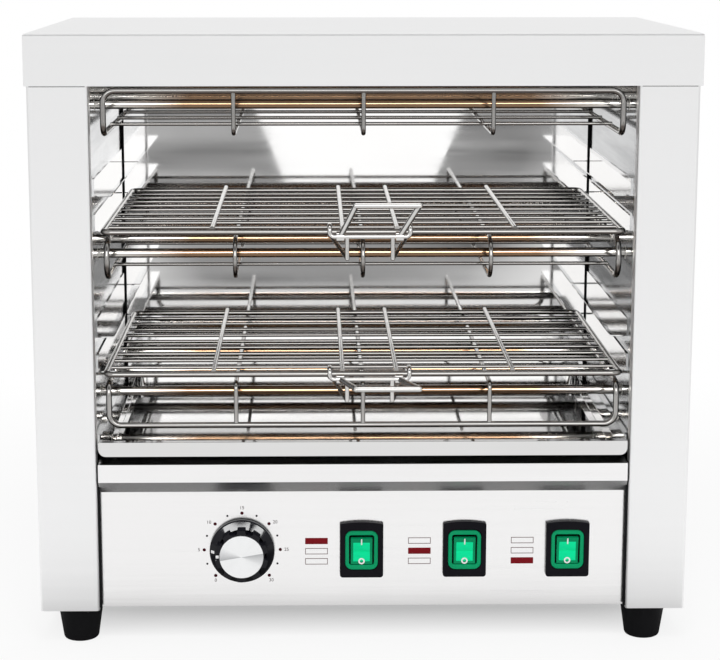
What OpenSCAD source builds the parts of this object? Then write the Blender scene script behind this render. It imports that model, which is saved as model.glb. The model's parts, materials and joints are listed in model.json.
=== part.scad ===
// Countertop toaster grill: an open-fronted oven with three rows of heater tubes,
// two pull-out wire racks, a drip tray and a control panel with a timer and three switches.
// Y is measured back from the front faces of the side panels, Z up from the table.

/* [Case] */
// Width over the two side panels
case_w = 438; // [400:1:520]
// Depth from the front faces to the back of the rear panel
case_d = 246; // [236:1:300]
// Height from the bottom of the side panels to the top of the cover
case_h = 390; // [380:1:440]
// Thickness of the outer sheet steel
sheet_t = 1; // [0.8:0.1:1.2]
// Width of each front column beside the opening
column_w = 40; // [34:1:50]
// Depth of the folded edge beside the opening
return_d = 9; // [5:0.5:11]
// Width of the fold at the back of a side panel
rear_fold = 16; // [12:1:20]
// Radius of the outer bends
bend_r = 2; // [1.5:0.1:3]
// Height of the skirt of the top cover
skirt_h = 34; // [28:0.5:36]
// Gap between the cover's skirt and the panels inside it
cover_fit = 0.3; // [0.1:0.1:0.6]
// Height of the upturned edges of the base plate
base_edge_h = 12; // [8:1:20]

/* [Rear vents] */
// Width of a vent slot
vent_w = 5; // [4:0.5:6]
// Height of a vent slot
vent_h = 34; // [20:1:50]
// Distance between the vent slots of a row
vent_pitch = 16; // [10:0.5:18]
// Number of vent slots in a row
vent_count = 14; // [8:1:18]
// Height of the lower row above the bottom of the case
vent_rise = 110; // [90:1:120]
// Distance from the lower row up to the upper one
vent_row_pitch = 172; // [120:1:190]

/* [Feet and screws] */
// Height of a rubber foot
foot_h = 25; // [20:1:30]
// Diameter of a foot at its top
foot_top_d = 31; // [27:1:34]
// Diameter of a foot at its bottom
foot_bottom_d = 24; // [20:1:26]
// Distance from the outside of the case to the middle of a foot
foot_in_x = 25; // [22:1:40]
// Distance from the front or the back to the middle of a foot
foot_in_y = 20; // [18:1:40]
// Depth of the screw's recess in a foot
foot_recess = 8; // [5:0.5:10]
// Bevel round the bottom of a foot
foot_bevel = 1; // [0.5:0.1:2]
// Diameter of the screw shanks
screw_d = 3; // [2.5:0.1:3.5]
// Diameter of the screw heads
screw_head_d = 6.4; // [5.5:0.1:7.5]
// Height of the domed screw heads
screw_head_h = 2.1; // [1.6:0.1:2.6]
// Length of the screws in the sheets
screw_len = 6; // [5:0.5:8]
// Length of a foot screw
foot_screw_len = 19.5; // [18.5:0.5:24]
// Radial clearance of the screws in their holes
screw_fit = 0.1; // [0.05:0.01:0.2]
// Distance of the outer panel screws from the middle
panel_screw_x = 157; // [120:1:165]
// Distance of the first and last rear screws from the ends of the rear panel's bare part
rear_screw_in = 25; // [15:1:40]
// Number of screws down each side of the rear panel
rear_screw_count = 4; // [3:1:6]

/* [Oven] */
// Depth from the front faces to the back wall of the oven
oven_d = 216; // [200:1:220]
// Thickness of the polished inner sheets
liner_t = 0.8; // [0.6:0.1:1]
// Gap between the side liners and the back wall
corner_gap = 1.2; // [0.5:0.1:2]
// Distance from the top of the cover down to the oven ceiling
ceiling_drop = 34; // [30:0.5:36]
// Depth of the oven floor below the top of the control panel
floor_drop = 1.2; // [0.5:0.1:3]
// Height of the folded edges under the oven floor
floor_edge_h = 14; // [8:0.5:18]

/* [Racks] */
// Height of the lower rack above the rim of the drip tray
lower_rack_rise = 45.5; // [42:0.5:50]
// Height of the upper rack above the lower one
rack_pitch = 96; // [92:0.5:104]
// Gap between a rack and the side liners
rack_side_gap = 6; // [4:0.5:8]
// Distance from the front faces to the front bar of a rack
rack_front = 5; // [3:0.5:10]
// Gap between the rear bar of a rack and the back wall
rack_rear_gap = 3; // [2:0.5:10]
// Diameter of the frame wire of a rack
frame_wire = 4; // [3.5:0.1:5]
// Diameter of the cross wires of a rack
cross_wire = 2.6; // [2:0.1:3]
// Number of cross wires between the front and rear bars
cross_count = 9; // [7:1:11]
// Diameter of the rods that run from front to back
rack_rod = 3.2; // [2.8:0.1:4]
// Bend radius of a rack's corners
rack_bend = 6; // [5:0.5:9]
// Distance of the outer rods from the middle of the rack
outer_rod_x = 100; // [90:1:115]
// Distance of the inner rods from the middle of the handle
inner_rod_x = 18; // [14:0.5:20]
// Depth by which welded wires sink into each other
weld = 0.5; // [0.3:0.1:0.7]
// Width of the horizontal leg of a rack rail
rail_leg = 12; // [10:0.5:14]
// Height of the vertical leg of a rack rail
rail_h = 11; // [8:0.5:14]
// Distance from a rack in use up to the spare rail above it
spare_rail_rise = 24; // [20:0.5:30]
// Distance from the front faces to the front end of the rails
rail_front = 25; // [20:1:40]
// Gap between the rails and the back wall
rail_rear_gap = 3.6; // [2:0.1:8]
// Gap between a rack and the rail under it
rest_gap = 0.3; // [0.2:0.05:0.4]

/* [Rack handles] */
// Distance of the handles from the middle
handle_x = 4; // [0:0.5:8]
// Width of the hooked bracket
bracket_w = 53; // [50:0.5:58]
// Diameter of the bracket wire
bracket_wire = 3; // [2.6:0.1:3.2]
// Distance from the rack's front bar to the bracket's front wire
bracket_front = 6.3; // [6:0.1:8]
// Distance from the rack's front bar to the bracket's rear wire
bracket_rear = 33; // [30:0.5:37]
// Bend radius of the bracket wire
bracket_bend = 3.2; // [2.4:0.1:3.2]
// Gap between the bracket's hooks and the rack's front bar
hook_gap = 0.15; // [0.1:0.05:0.3]
// Gap between the top of the hooks and the rack's front bar
hook_rise = 1.1; // [1.1:0.1:2]
// Depth of the bracket's front wire below the rack
bracket_sink = 2.2; // [2.2:0.1:3]
// Length of the legs under the bracket
leg_len = 14.5; // [10:0.5:16]
// Distance of the legs from the middle of the bracket
leg_x = 15; // [12:0.1:15.2]
// Length of a bail from its pivot to its grip
bail_len = 28; // [24:0.5:34]
// Width of the grip of a bail
bail_w = 41; // [38:0.5:44]
// Sideways lean of a bail
bail_lean = 11; // [4:0.5:12]
// Diameter of the bail wire
bail_wire = 3.9; // [3.5:0.1:4.2]
// Swelling of the wire at the corners of a bail
bail_swell = 0.2; // [0.1:0.1:0.6]
// Length by which a bail's legs run past their pivots
bail_overrun = 1; // [0.5:0.1:1.2]
// Distance between the two eyelets of a bail
eyelet_pitch = 39; // [38.6:0.1:39.6]
// Outside diameter of an eyelet
eyelet_d = 7; // [6:0.1:7.5]
// Length of an eyelet along the wire
eyelet_w = 5; // [4.4:0.1:5.2]
// Angle at which the upper bail stands raised
upper_bail_angle = 55; // [30:1:80]

/* [Heaters] */
// Diameter of a heater tube
tube_d = 6.5; // [6:0.1:8]
// Distance from the front faces to the front heater tube
tube_front = 45; // [40:1:50]
// Distance between the heater tubes of a row
tube_pitch = 62; // [55:0.5:64]
// Distance from the oven ceiling down to the top row
top_row_drop = 15.5; // [14:0.5:20]
// Distance from the upper rack down to the middle row
middle_row_drop = 20.5; // [20.5:0.5:24]
// Distance from the lower rack down to the bottom row
bottom_row_drop = 21; // [19:0.5:24]
// Length of a tube beyond the side liner
tube_tail = 14; // [10:0.5:16]
// Outside diameter of the ceramic bush round a tube
bush_d = 12; // [11:0.5:14]
// Diameter of the bush's neck in the side liner
bush_neck_d = 9; // [8.5:0.1:10]
// Length of a ceramic bush behind the liner
bush_len = 7; // [5:0.5:9]
// Diameter of the terminal pin of a tube
terminal_d = 3.5; // [3:0.1:4]
// Length of the terminal pin of a tube
terminal_len = 9; // [6:0.5:10]

/* [Guards] */
// Gap between a guard and the side liners
guard_side_gap = 7; // [5:0.5:9]
// Distance from the front faces to the front of the top and bottom guards
guard_front = 13; // [12:0.5:18]
// Distance from the front faces to the front of the middle guard
middle_guard_front = 17; // [15:0.5:22]
// Height of the top and bottom guards
guard_h = 28.5; // [24:0.5:30]
// Height of the middle guard
middle_guard_h = 26; // [22:0.5:26]
// Distance from the oven ceiling down to the top guard's cross wire
top_guard_drop = 4; // [3:0.5:6]
// Distance from the lower rack down to the top of the bottom guard
bottom_guard_drop = 8.5; // [8:0.5:11]
// Diameter of the guards' frame wire
guard_wire = 4; // [3.5:0.1:4.5]
// Diameter of the guards' ribs
guard_rib = 3; // [2.6:0.1:3.4]
// Bend radius of the top and bottom guards' frame wire
guard_bend = 8; // [6:0.5:12]
// Bend radius of the top and bottom guards' ribs
rib_bend = 4.5; // [4:0.5:10]
// Distance of the outer ribs from the middle
guard_rib_x = 85.5; // [70:0.5:110]
// Length of the guards' ends behind the back wall
guard_tail = 3; // [2:0.5:6]
// Diameter of the guards' long wires
guard_long = 2.5; // [2:0.1:2.8]
// Distance between the guards' long wires
guard_pitch = 45; // [38:0.5:46]
// Number of long wires on each face of a guard
guard_long_count = 4; // [2:1:4]

/* [Drip tray] */
// Gap between the tray and the column returns
tray_side_gap = 1.5; // [1:0.1:3]
// Depth of the tray from front to back
tray_d = 204; // [180:1:208]
// Height of the front lip of the tray
lip_h = 10; // [8:0.1:13]
// Gap between the lip and the control panel
lip_gap = 5.5; // [3:0.5:6]
// Thickness of the tray's sheet
tray_t = 0.8; // [0.6:0.1:1]
// Width of the flat rim at the sides of the tray
rim_w = 7; // [6:0.5:10]
// Depth of the basin below the rim
basin_depth = 9; // [6:0.5:9.5]
// Corner radius of the basin
basin_r = 8; // [5:0.5:14]
// Gap between the runners and the basin
runner_gap = 1.5; // [0.5:0.1:2.5]

/* [Control panel] */
// Height of the control panel
panel_h = 102.5; // [98:0.5:115]
// Gap between the control panel and the columns
panel_side_gap = 1; // [0.5:0.1:2]
// Height of the vertical nose at the top of the panel
nose_h = 12.3; // [10:0.1:14]
// Height of the slope below the nose
slope_h = 8.3; // [7:0.1:11]
// Distance of the main face behind the front faces
panel_recess = 6; // [5:0.1:8]
// Depth of the folded flanges of the panel
flange_d = 18; // [16:0.5:22]
// Height of the knob and the switches above the bottom of the case
control_rise = 41; // [36:0.5:46]

/* [Timer] */
// Distance of the timer to the left of the middle
timer_x = 82; // [70:0.5:100]
// Diameter of the knob's skirt
skirt_d = 44; // [40:0.5:46]
// Diameter of the knob's grip
grip_d = 36; // [33:0.5:38]
// Thickness of the knob's skirt
skirt_t = 2.2; // [1.8:0.1:3]
// Height of the knob from its back to its front
knob_h = 13.8; // [10:0.1:16]
// Gap between the knob and the panel
knob_gap = 1.2; // [0.8:0.1:2]
// Number of finger grooves round the grip
groove_count = 10; // [8:1:14]
// Diameter of the metal disc on the knob
cap_d = 29.6; // [26:0.1:31]
// Thickness of the metal disc
cap_t = 1; // [0.8:0.1:1.5]
// Diameter of the hollow behind the knob
knob_hollow_d = 20; // [18:0.5:28]
// Depth of the hollow, from the panel
knob_hollow_h = 2.7; // [2.6:0.1:3.4]
// Thickness of the knob in front of the shaft
knob_crown = 2; // [1.5:0.1:3]
// Diameter of the timer's shaft
shaft_d = 6; // [5:0.1:6.5]
// Diameter of the timer's threaded bush
timer_bush_d = 9.4; // [8.5:0.1:10]
// Length of the threaded bush in front of the panel
timer_bush_len = 2.4; // [2.2:0.1:2.5]
// Width across the corners of the timer's nut
timer_nut_d = 15; // [13:0.5:16]
// Thickness of the timer's nut
timer_nut_t = 2; // [1.5:0.1:2.2]
// Width of the timer's case
timer_w = 44; // [36:1:46]
// Depth of the timer's case
timer_case_d = 28; // [20:1:32]

/* [Switches] */
// Distance of the middle switch to the right of the middle
switch_x = 69; // [66:0.5:75]
// Distance between the switches
switch_pitch = 70; // [60:0.5:72]
// Width of a switch frame
bezel_w = 29.4; // [28:0.1:32]
// Height of a switch frame
bezel_h = 38.4; // [37:0.1:40]
// Thickness of a switch frame
bezel_t = 3.2; // [2.8:0.1:4]
// Rise of the arched top edge of a switch frame
bezel_arch = 1.4; // [0.5:0.1:2]
// Corner radius of a switch frame
bezel_r = 2; // [1:0.1:3]
// Width of the boot ring inside the frame
boot_w = 22.4; // [22:0.1:23]
// Height of the boot ring inside the frame
boot_h = 27.6; // [27:0.1:29]
// Corner radius of the boot ring
boot_r = 5; // [3:0.1:6]
// Depth of the boot ring behind the front of the frame
boot_sink = 0.6; // [0.3:0.1:1]
// Width of the rocker
rocker_w = 14.6; // [13:0.1:15]
// Height of the rocker
rocker_h = 18.6; // [17:0.1:19]
// Gap between the rocker and the boot ring
rocker_gap = 1.2; // [1:0.1:1.4]
// Corner radius of the hole round the rocker
rocker_hole_r = 1.5; // [1:0.1:2]
// Depth of the middle of the rocker behind the front of the frame
rocker_sink = 1.4; // [1:0.1:2]
// Thickness of the rocker at its ends
rocker_edge = 2.5; // [2:0.1:3]
// Depth of the rocker's axle behind the panel's face
pivot_depth = 5; // [4.5:0.1:6]
// Diameter of the rocker's axle
axle_d = 3; // [2.5:0.1:3.2]
// Length of the axle at each side of the rocker
axle_stub = 1.6; // [1:0.1:2]
// Gap between the rocker and the walls of the switch body
well_gap = 0.5; // [0.3:0.1:0.6]
// Depth of the switch body behind the panel
switch_d = 26; // [20:1:30]
// Tilt of a rocker either side of its middle position
rocker_tilt = 6; // [4:0.5:6]
// Width of a switch's connector tabs
tab_w = 6.3; // [4.8:0.1:6.3]
// Thickness of a connector tab
tab_t = 0.8; // [0.5:0.1:1]
// Length of a connector tab
tab_len = 8; // [6:0.5:12]
// Distance between the connector tabs
tab_pitch = 8; // [6:0.5:9]

/* [Mains entry] */
// Distance of the cable gland to the right of the middle
gland_x = 150; // [120:1:165]
// Height of the cable gland above the bottom of the case
gland_rise = 30; // [26:1:50]
// Diameter of the cable hole through the gland
gland_bore = 8; // [7:0.1:9]
// Length of the gland outside the rear panel
gland_out = 16; // [12:0.5:20]
// Length of the gland inside the rear panel
gland_in = 12; // [10:0.5:16]
// Diameter of the gland's thread
gland_thread_d = 16; // [15:0.1:20]
// Width across the corners of the gland's hexagon and of its nut
gland_hex_d = 25; // [24:0.5:30]
// Thickness of the gland's hexagon and of its nut
gland_hex_t = 5; // [4:0.5:6]
// Diameter of the gland's cap
gland_cap_d = 19; // [17:0.5:20]
// Length of the narrow lip at the end of the gland
gland_lip = 3; // [2:0.5:5]
// Number of ways of the terminal block
block_ways = 5; // [3:1:6]
// Width of one way of the terminal block
block_way = 10; // [8:0.5:12]
// Depth of the terminal block
block_d = 22; // [16:1:26]
// Height of the terminal block
block_h = 17; // [14:0.5:22]
// Diameter of the wire holes of the terminal block
block_hole_d = 5; // [3:0.5:6]
// Distance from the back of the case to the front of the terminal block
block_back = 70; // [50:1:100]

/* [Fits] */
// Radial clearance of turning and sliding pins
running_fit = 0.06; // [0.03:0.01:0.1]
// Clearance of pieces that are put through a hole
slip = 0.15; // [0.1:0.05:0.3]
// Radial clearance of the knob on its shaft
knob_fit = 0.01; // [0.01:0.01:0.03]
// Clearance round a screw head in a foot
head_room = 1; // [0.5:0.1:2]

/* [Hidden] */

$fn = 48;
wire_fn = 20;
eps = 0.01;
over = 1;

steel = [0.82, 0.82, 0.83];
polished = [0.72, 0.72, 0.74];
wire_steel = [0.66, 0.66, 0.68];
heater_brown = [0.55, 0.40, 0.28];
black = [0.06, 0.06, 0.07];

// Rods and wires
hook_reach = (frame_wire + bracket_wire) / 2;
bracket_lift = hook_reach + hook_rise;
bracket_under = hook_reach + hook_gap;
bracket_back = hook_reach + hook_gap;
bail_corner_d = bail_wire + bail_swell;

// Places across the case
half_w = case_w / 2;
opening_x = half_w - column_w;
liner_x = opening_x + sheet_t;
rack_half = liner_x - rack_side_gap;
guard_half = liner_x - guard_side_gap - guard_wire / 2;
rib_x = [-guard_rib_x, 0, guard_rib_x];

// Heights
case_top = foot_h + case_h;
panels_top = case_top - bend_r;
ceiling_z = case_top - ceiling_drop;
panel_top = foot_h + panel_h;
floor_z = panel_top - floor_drop - sheet_t;
rim_z = panel_top + lip_gap + lip_h;
lower_rack_z = rim_z + lower_rack_rise;
upper_rack_z = lower_rack_z + rack_pitch;
rail_drop = frame_wire / 2 + rest_gap;
top_row_z = ceiling_z - top_row_drop;
middle_row_z = upper_rack_z - middle_row_drop;
bottom_row_z = lower_rack_z - bottom_row_drop;
row_z = [top_row_z, middle_row_z, bottom_row_z];
guard_runs = [
    ceiling_z - top_guard_drop - guard_h,
    middle_row_z - middle_guard_h / 2,
    middle_row_z + middle_guard_h / 2,
    lower_rack_z - bottom_guard_drop
];
control_z = foot_h + control_rise;
gland_z = foot_h + gland_rise;

// Depths
tube_y = [for (i = [0:2]) tube_front + i * tube_pitch];
rack_rear = oven_d - rack_rear_gap - frame_wire / 2;
pivot_y = rack_front - bracket_front;
front_reach = bail_len + bail_corner_d / 2 - pivot_y;
rear_reach = gland_out;
front_y = (front_reach - case_d - rear_reach) / 2;
guard_rear = oven_d + liner_t + guard_tail;
face_y = panel_recess;

// Fits
hole_d = screw_d + 2 * screw_fit;
recess_d = screw_head_d + 2 * head_room;
guard_hole_d = guard_wire + 2 * running_fit;
tube_hole_d = tube_d + 2 * running_fit;
bush_hole_d = bush_neck_d + 2 * running_fit;
eyelet_bore = bracket_wire + 2 * running_fit;
shaft_bore = shaft_d + 2 * running_fit;
timer_hole_d = timer_bush_d + 2 * slip;
knob_bore = shaft_d + 2 * knob_fit;

// Switch places, from left to right
switch_places = [for (i = [-1:1]) switch_x + i * switch_pitch];
cutout_w = boot_w + 2 * slip;
cutout_h = boot_h + 2 * slip;

// Screw places
rear_screw_x = half_w - rear_fold / 2;
rear_screw_pitch = (case_h - skirt_h - 2 * rear_screw_in) / (rear_screw_count - 1);
rear_screw_z = [for (i = [0:rear_screw_count - 1]) foot_h + rear_screw_in + i * rear_screw_pitch];
cover_screw_z = case_top - skirt_h / 2;
foot_y = [foot_in_y, case_d - foot_in_y];
foot_x = half_w - foot_in_x;

// Moves a piece from the front faces to its place about the origin
module from_front() {
    translate([0, front_y, 0]) children();
}

// Mirrored pair of a piece made for the left side
module right_hand() {
    mirror([1, 0, 0]) children();
}

// Extrudes an outline drawn in Y and Z along X
module along_x(x0, x1) {
    translate([x0, 0, 0])
        rotate([90, 0, 90])
            linear_extrude(x1 - x0) children();
}

// Extrudes an outline drawn in X and Z along Y
module along_y(y0, y1) {
    translate([0, y1, 0])
        rotate([90, 0, 0])
            linear_extrude(y1 - y0) children();
}

// Box between two corners
module block(low, high) {
    translate(low) cube(high - low);
}

// Rectangle with round corners between two points
module round_rect(low, high, r) {
    translate([low[0] + r, low[1]]) square([high[0] - low[0] - 2 * r, high[1] - low[1]]);
    translate([low[0], low[1] + r]) square([high[0] - low[0], high[1] - low[1] - 2 * r]);
    for (x = [low[0] + r, high[0] - r], y = [low[1] + r, high[1] - r])
        translate([x, y]) circle(r);
}

function unit(v) = v / norm(v);
function turn_at(p, i) = acos(unit(p[i] - p[i - 1]) * unit(p[i + 1] - p[i]));
function trim_at(p, i, r) = i == 0 || i == len(p) - 1 ? 0 : r * tan(turn_at(p, i) / 2);

// Straight round bar from one point to another
module rod(a, b, d) {
    v = b - a;
    translate(a)
        rotate([0, acos(v[2] / norm(v)), atan2(v[1], v[0])])
            cylinder(h = norm(v), d = d, $fn = wire_fn);
}

// Round bend of a wire at the middle one of three points
module wire_bend(p, i, d, r) {
    a = unit(p[i] - p[i - 1]);
    b = unit(p[i + 1] - p[i]);
    n = unit(b - (a * b) * a);
    w = cross(-n, a);
    c = p[i] - a * trim_at(p, i, r) + n * r;
    multmatrix([[-n[0], a[0], w[0], c[0]], [-n[1], a[1], w[1], c[1]], [-n[2], a[2], w[2], c[2]]])
        rotate_extrude(angle = turn_at(p, i), $fn = 32)
            translate([r, 0]) circle(d = d, $fn = wire_fn);
}

// Wire through a list of points, with round bends
module bent_wire(p, d, r) {
    for (i = [0:len(p) - 2]) {
        a = unit(p[i + 1] - p[i]);
        rod(p[i] + a * trim_at(p, i, r), p[i + 1] - a * trim_at(p, i + 1, r), d);
    }
    for (i = [1:1:len(p) - 2])
        wire_bend(p, i, d, r);
}

// Closed loop of wire, begun and ended in the middle of its first side
module wire_loop(p, d, r) {
    middle = (p[0] + p[len(p) - 1]) / 2;
    bent_wire(concat([middle], p, [middle]), d, r);
}

// Outer case

module cover_shell(x, y0, y1, z1, r) {
    intersection() {
        along_y(y0, y1) {
            round_rect([-x, z1 - 2 * skirt_h], [x, z1], r);
        }
        along_x(-x, x) {
            round_rect([y0, z1 - 2 * skirt_h], [y1, z1], r);
        }
    }
}

module top_cover() color(steel) from_front() {
    out = cover_fit + sheet_t;
    difference() {
        cover_shell(half_w + out, -out, case_d + out, case_top, bend_r);
        cover_shell(half_w + cover_fit, -cover_fit, case_d + cover_fit, case_top - sheet_t,
            bend_r - sheet_t);
        block([-case_w, -case_d, 0], [case_w, 2 * case_d, case_top - skirt_h]);
        for (x = [-rear_screw_x, rear_screw_x])
            translate([x, case_d, cover_screw_z])
                rotate([-90, 0, 0]) cylinder(h = 2 * out, d = hole_d);
    }
}

module side_panel_outline() {
    inner_r = bend_r - sheet_t;
    rear_y = case_d - sheet_t;
    difference() {
        round_rect([-half_w, 0], [-opening_x, rear_y], bend_r);
        round_rect([-half_w + sheet_t, sheet_t], [-opening_x - sheet_t, rear_y - sheet_t], inner_r);
        translate([-half_w + rear_fold, return_d]) square([column_w, case_d]);
    }
}

module side_panel() {
    difference() {
        translate([0, 0, foot_h])
            linear_extrude(panels_top - foot_h) side_panel_outline();
        rear_screw_holes();
    }
}

module rear_screw_holes() {
    for (x = [-rear_screw_x, rear_screw_x]) {
        for (z = concat(rear_screw_z, [cover_screw_z]))
            translate([x, case_d - 3 * sheet_t, z])
                rotate([-90, 0, 0]) cylinder(h = 4 * sheet_t, d = hole_d);
    }
}

module left_side_panel() color(steel) from_front() side_panel();

module right_side_panel() color(steel) from_front() right_hand() side_panel();

module vent_slots() {
    low = foot_h + vent_rise;
    for (i = [0:vent_count - 1], z = [low, low + vent_row_pitch])
        translate([(i - (vent_count - 1) / 2) * vent_pitch, z])
            round_rect([-vent_w / 2, -vent_h / 2], [vent_w / 2, vent_h / 2], vent_w / 2 - eps);
}

module rear_panel() color(steel) from_front() {
    difference() {
        along_y(case_d - sheet_t, case_d) {
            difference() {
                translate([-half_w, foot_h]) square([case_w, panels_top - foot_h]);
                vent_slots();
                translate([gland_x, gland_z]) circle(d = gland_thread_d + 2 * slip);
            }
        }
        rear_screw_holes();
    }
}

module base_plate() color(steel) from_front() {
    x = half_w - sheet_t;
    y0 = return_d + sheet_t;
    y1 = case_d - sheet_t - bend_r;
    z1 = foot_h + base_edge_h;
    difference() {
        block([-x, y0, foot_h], [x, y1, z1]);
        block([-x + sheet_t, y0 - eps, foot_h + sheet_t], [x - sheet_t, y1 - sheet_t, z1 + eps]);
        block([-x - eps, y1 - rear_fold, foot_h + sheet_t], [-half_w + rear_fold, y1 + eps, z1 + eps]);
        block([half_w - rear_fold, y1 - rear_fold, foot_h + sheet_t], [x + eps, y1 + eps, z1 + eps]);
        panel_screw_holes();
        for (x = [-foot_x, foot_x], y = foot_y)
            translate([x, y, 0]) cylinder(h = z1, d = hole_d);
    }
}

// Control panel

module panel_screw_holes() {
    for (x = [-panel_screw_x, 0, panel_screw_x])
        translate([x, face_y + flange_d / 2, foot_h - eps])
            cylinder(h = 3 * sheet_t, d = hole_d);
}

module panel_outline() {
    low = foot_h + sheet_t;
    nose = panel_top - nose_h;
    polygon([
        [0, panel_top], [flange_d, panel_top], [flange_d, panel_top - sheet_t],
        [sheet_t, panel_top - sheet_t], [sheet_t, nose + sheet_t / 2],
        [face_y + sheet_t, nose - slope_h + sheet_t / 2], [face_y + sheet_t, low + sheet_t],
        [face_y + flange_d, low + sheet_t], [face_y + flange_d, low],
        [face_y, low], [face_y, nose - slope_h], [0, nose]
    ]);
}

module control_panel() color(steel) from_front() {
    x = opening_x - panel_side_gap;
    difference() {
        along_x(-x, x) panel_outline();
        panel_screw_holes();
        translate([-timer_x, face_y - eps, control_z])
            rotate([-90, 0, 0]) cylinder(h = 2 * sheet_t, d = timer_hole_d);
        for (x = switch_places)
            translate([x, face_y - eps, control_z])
                block([-cutout_w / 2, 0, -cutout_h / 2], [cutout_w / 2, 2 * sheet_t, cutout_h / 2]);
    }
}

// Oven

module side_liner() {
    difference() {
        block([-liner_x - liner_t, bend_r, floor_z + sheet_t], [-liner_x, oven_d - corner_gap, ceiling_z]);
        for (y = tube_y, z = row_z)
            translate([-liner_x + eps, y, z])
                rotate([0, -90, 0]) cylinder(h = liner_t + 2 * eps, d = bush_hole_d);
    }
}

module left_liner() color(polished) from_front() side_liner();

module right_liner() color(polished) from_front() right_hand() side_liner();

module back_liner() color(polished) from_front() {
    x = liner_x + liner_t;
    difference() {
        block([-x, oven_d, floor_z + sheet_t], [x, oven_d + liner_t, ceiling_z]);
        for (x = [-guard_half, guard_half], z = guard_runs)
            translate([x, oven_d - eps, z])
                rotate([-90, 0, 0]) cylinder(h = liner_t + 2 * eps, d = guard_hole_d);
    }
}

module ceiling_plate() color(polished) from_front() {
    wide = half_w - sheet_t;
    narrow = opening_x - cover_fit;
    block([-wide, return_d + sheet_t, ceiling_z], [wide, oven_d + liner_t, ceiling_z + liner_t]);
    block([-narrow, 0, ceiling_z], [narrow, oven_d, ceiling_z + liner_t]);
}

module oven_floor() color(polished) from_front() {
    x = half_w - sheet_t;
    y0 = return_d + sheet_t;
    difference() {
        block([-x, y0, floor_z - floor_edge_h], [x, oven_d + liner_t, floor_z + sheet_t]);
        block([-x + sheet_t, y0 - eps, floor_z - floor_edge_h - eps], [x - sheet_t, case_d, floor_z]);
    }
}

module rail(z) {
    y1 = oven_d - rail_rear_gap;
    block([-liner_x, rail_front, z - liner_t], [-liner_x + rail_leg, y1, z]);
    block([-liner_x, rail_front, z - liner_t], [-liner_x + liner_t, y1, z + rail_h]);
}

module side_rails() {
    for (z = [lower_rack_z, upper_rack_z], rise = [0, spare_rail_rise])
        rail(z - rail_drop + rise);
}

module left_rack_rails() color(polished) from_front() side_rails();

module right_rack_rails() color(polished) from_front() right_hand() side_rails();

module tray_runner() {
    z = rim_z - tray_t - rest_gap;
    leg = sheet_t + tray_side_gap + rim_w - runner_gap;
    block([-liner_x, rail_front, z - liner_t], [-liner_x + leg, tray_d, z]);
    block([-liner_x, rail_front, z - rail_h], [-liner_x + liner_t, tray_d, z]);
}

module left_tray_runner() color(polished) from_front() tray_runner();

module right_tray_runner() color(polished) from_front() right_hand() tray_runner();

// Heaters

module heater(row, place) color(heater_brown) from_front() {
    reach = liner_x + tube_tail;
    rod([-reach, tube_y[place], row_z[row]], [reach, tube_y[place], row_z[row]], tube_d);
}

module top_front_heater() heater(0, 0);

module top_middle_heater() heater(0, 1);

module top_rear_heater() heater(0, 2);

module middle_front_heater() heater(1, 0);

module middle_middle_heater() heater(1, 1);

module middle_rear_heater() heater(1, 2);

module bottom_front_heater() heater(2, 0);

module bottom_middle_heater() heater(2, 1);

module bottom_rear_heater() heater(2, 2);

// Runs its children at both ends of every heater tube, with X pointing outwards
module at_heater_ends() {
    for (y = tube_y, z = row_z, side = [0, 1])
        mirror([1 - side, 0, 0]) translate([liner_x, y, z]) rotate([0, 90, 0]) children();
}

module heater_bushes() color("white") from_front() at_heater_ends() {
    difference() {
        union() {
            cylinder(h = liner_t + eps, d = bush_neck_d);
            translate([0, 0, liner_t]) cylinder(h = bush_len, d = bush_d);
        }
        translate([0, 0, -over]) cylinder(h = liner_t + bush_len + 2 * over, d = tube_hole_d);
    }
}

module heater_terminals() color("gold") from_front() at_heater_ends() {
    translate([0, 0, tube_tail]) cylinder(h = terminal_len, d = terminal_d);
}

// Wire guards over the heaters

// Long wires laid inside a flat run of a guard, on the side given by up
module guard_long_wires(front, z, up) {
    zw = z + up * (guard_rib / 2 + guard_long / 2 - weld);
    for (i = [1:guard_long_count]) {
        y = front + i * guard_pitch;
        rod([-guard_half, y, zw], [guard_half, y, zw], guard_long);
    }
}

// Guard with an upright front and one flat run going back
module bent_guard(run_z, cross_z) {
    x = guard_half;
    last = guard_front + guard_long_count * guard_pitch;
    bent_wire([
        [-x, guard_rear, run_z], [-x, guard_front, run_z], [-x, guard_front, cross_z],
        [x, guard_front, cross_z], [x, guard_front, run_z], [x, guard_rear, run_z]
    ], guard_wire, guard_bend);
    for (i = rib_x)
        bent_wire([[i, guard_front, cross_z], [i, guard_front, run_z], [i, last + guard_long, run_z]],
            guard_rib, rib_bend);
    guard_long_wires(guard_front, run_z, sign(cross_z - run_z));
}

module top_guard() color(wire_steel) from_front() {
    bent_guard(guard_runs[0], ceiling_z - top_guard_drop);
}

module bottom_guard() color(wire_steel) from_front() {
    bent_guard(guard_runs[3], guard_runs[3] - guard_h);
}

module middle_guard() color(wire_steel) from_front() {
    low = guard_runs[1];
    high = guard_runs[2];
    front = middle_guard_front;
    bow = middle_guard_h / 2 - weld;
    last = front + guard_long_count * guard_pitch + guard_long;
    for (x = [-guard_half, guard_half])
        bent_wire([[x, guard_rear, low], [x, front, low], [x, front, high], [x, guard_rear, high]],
            guard_wire, bow);
    for (x = rib_x)
        bent_wire([[x, last, low], [x, front, low], [x, front, high], [x, last, high]],
            guard_rib, bow);
    guard_long_wires(front, low, 1);
    guard_long_wires(front, high, -1);
}

// Racks

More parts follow.
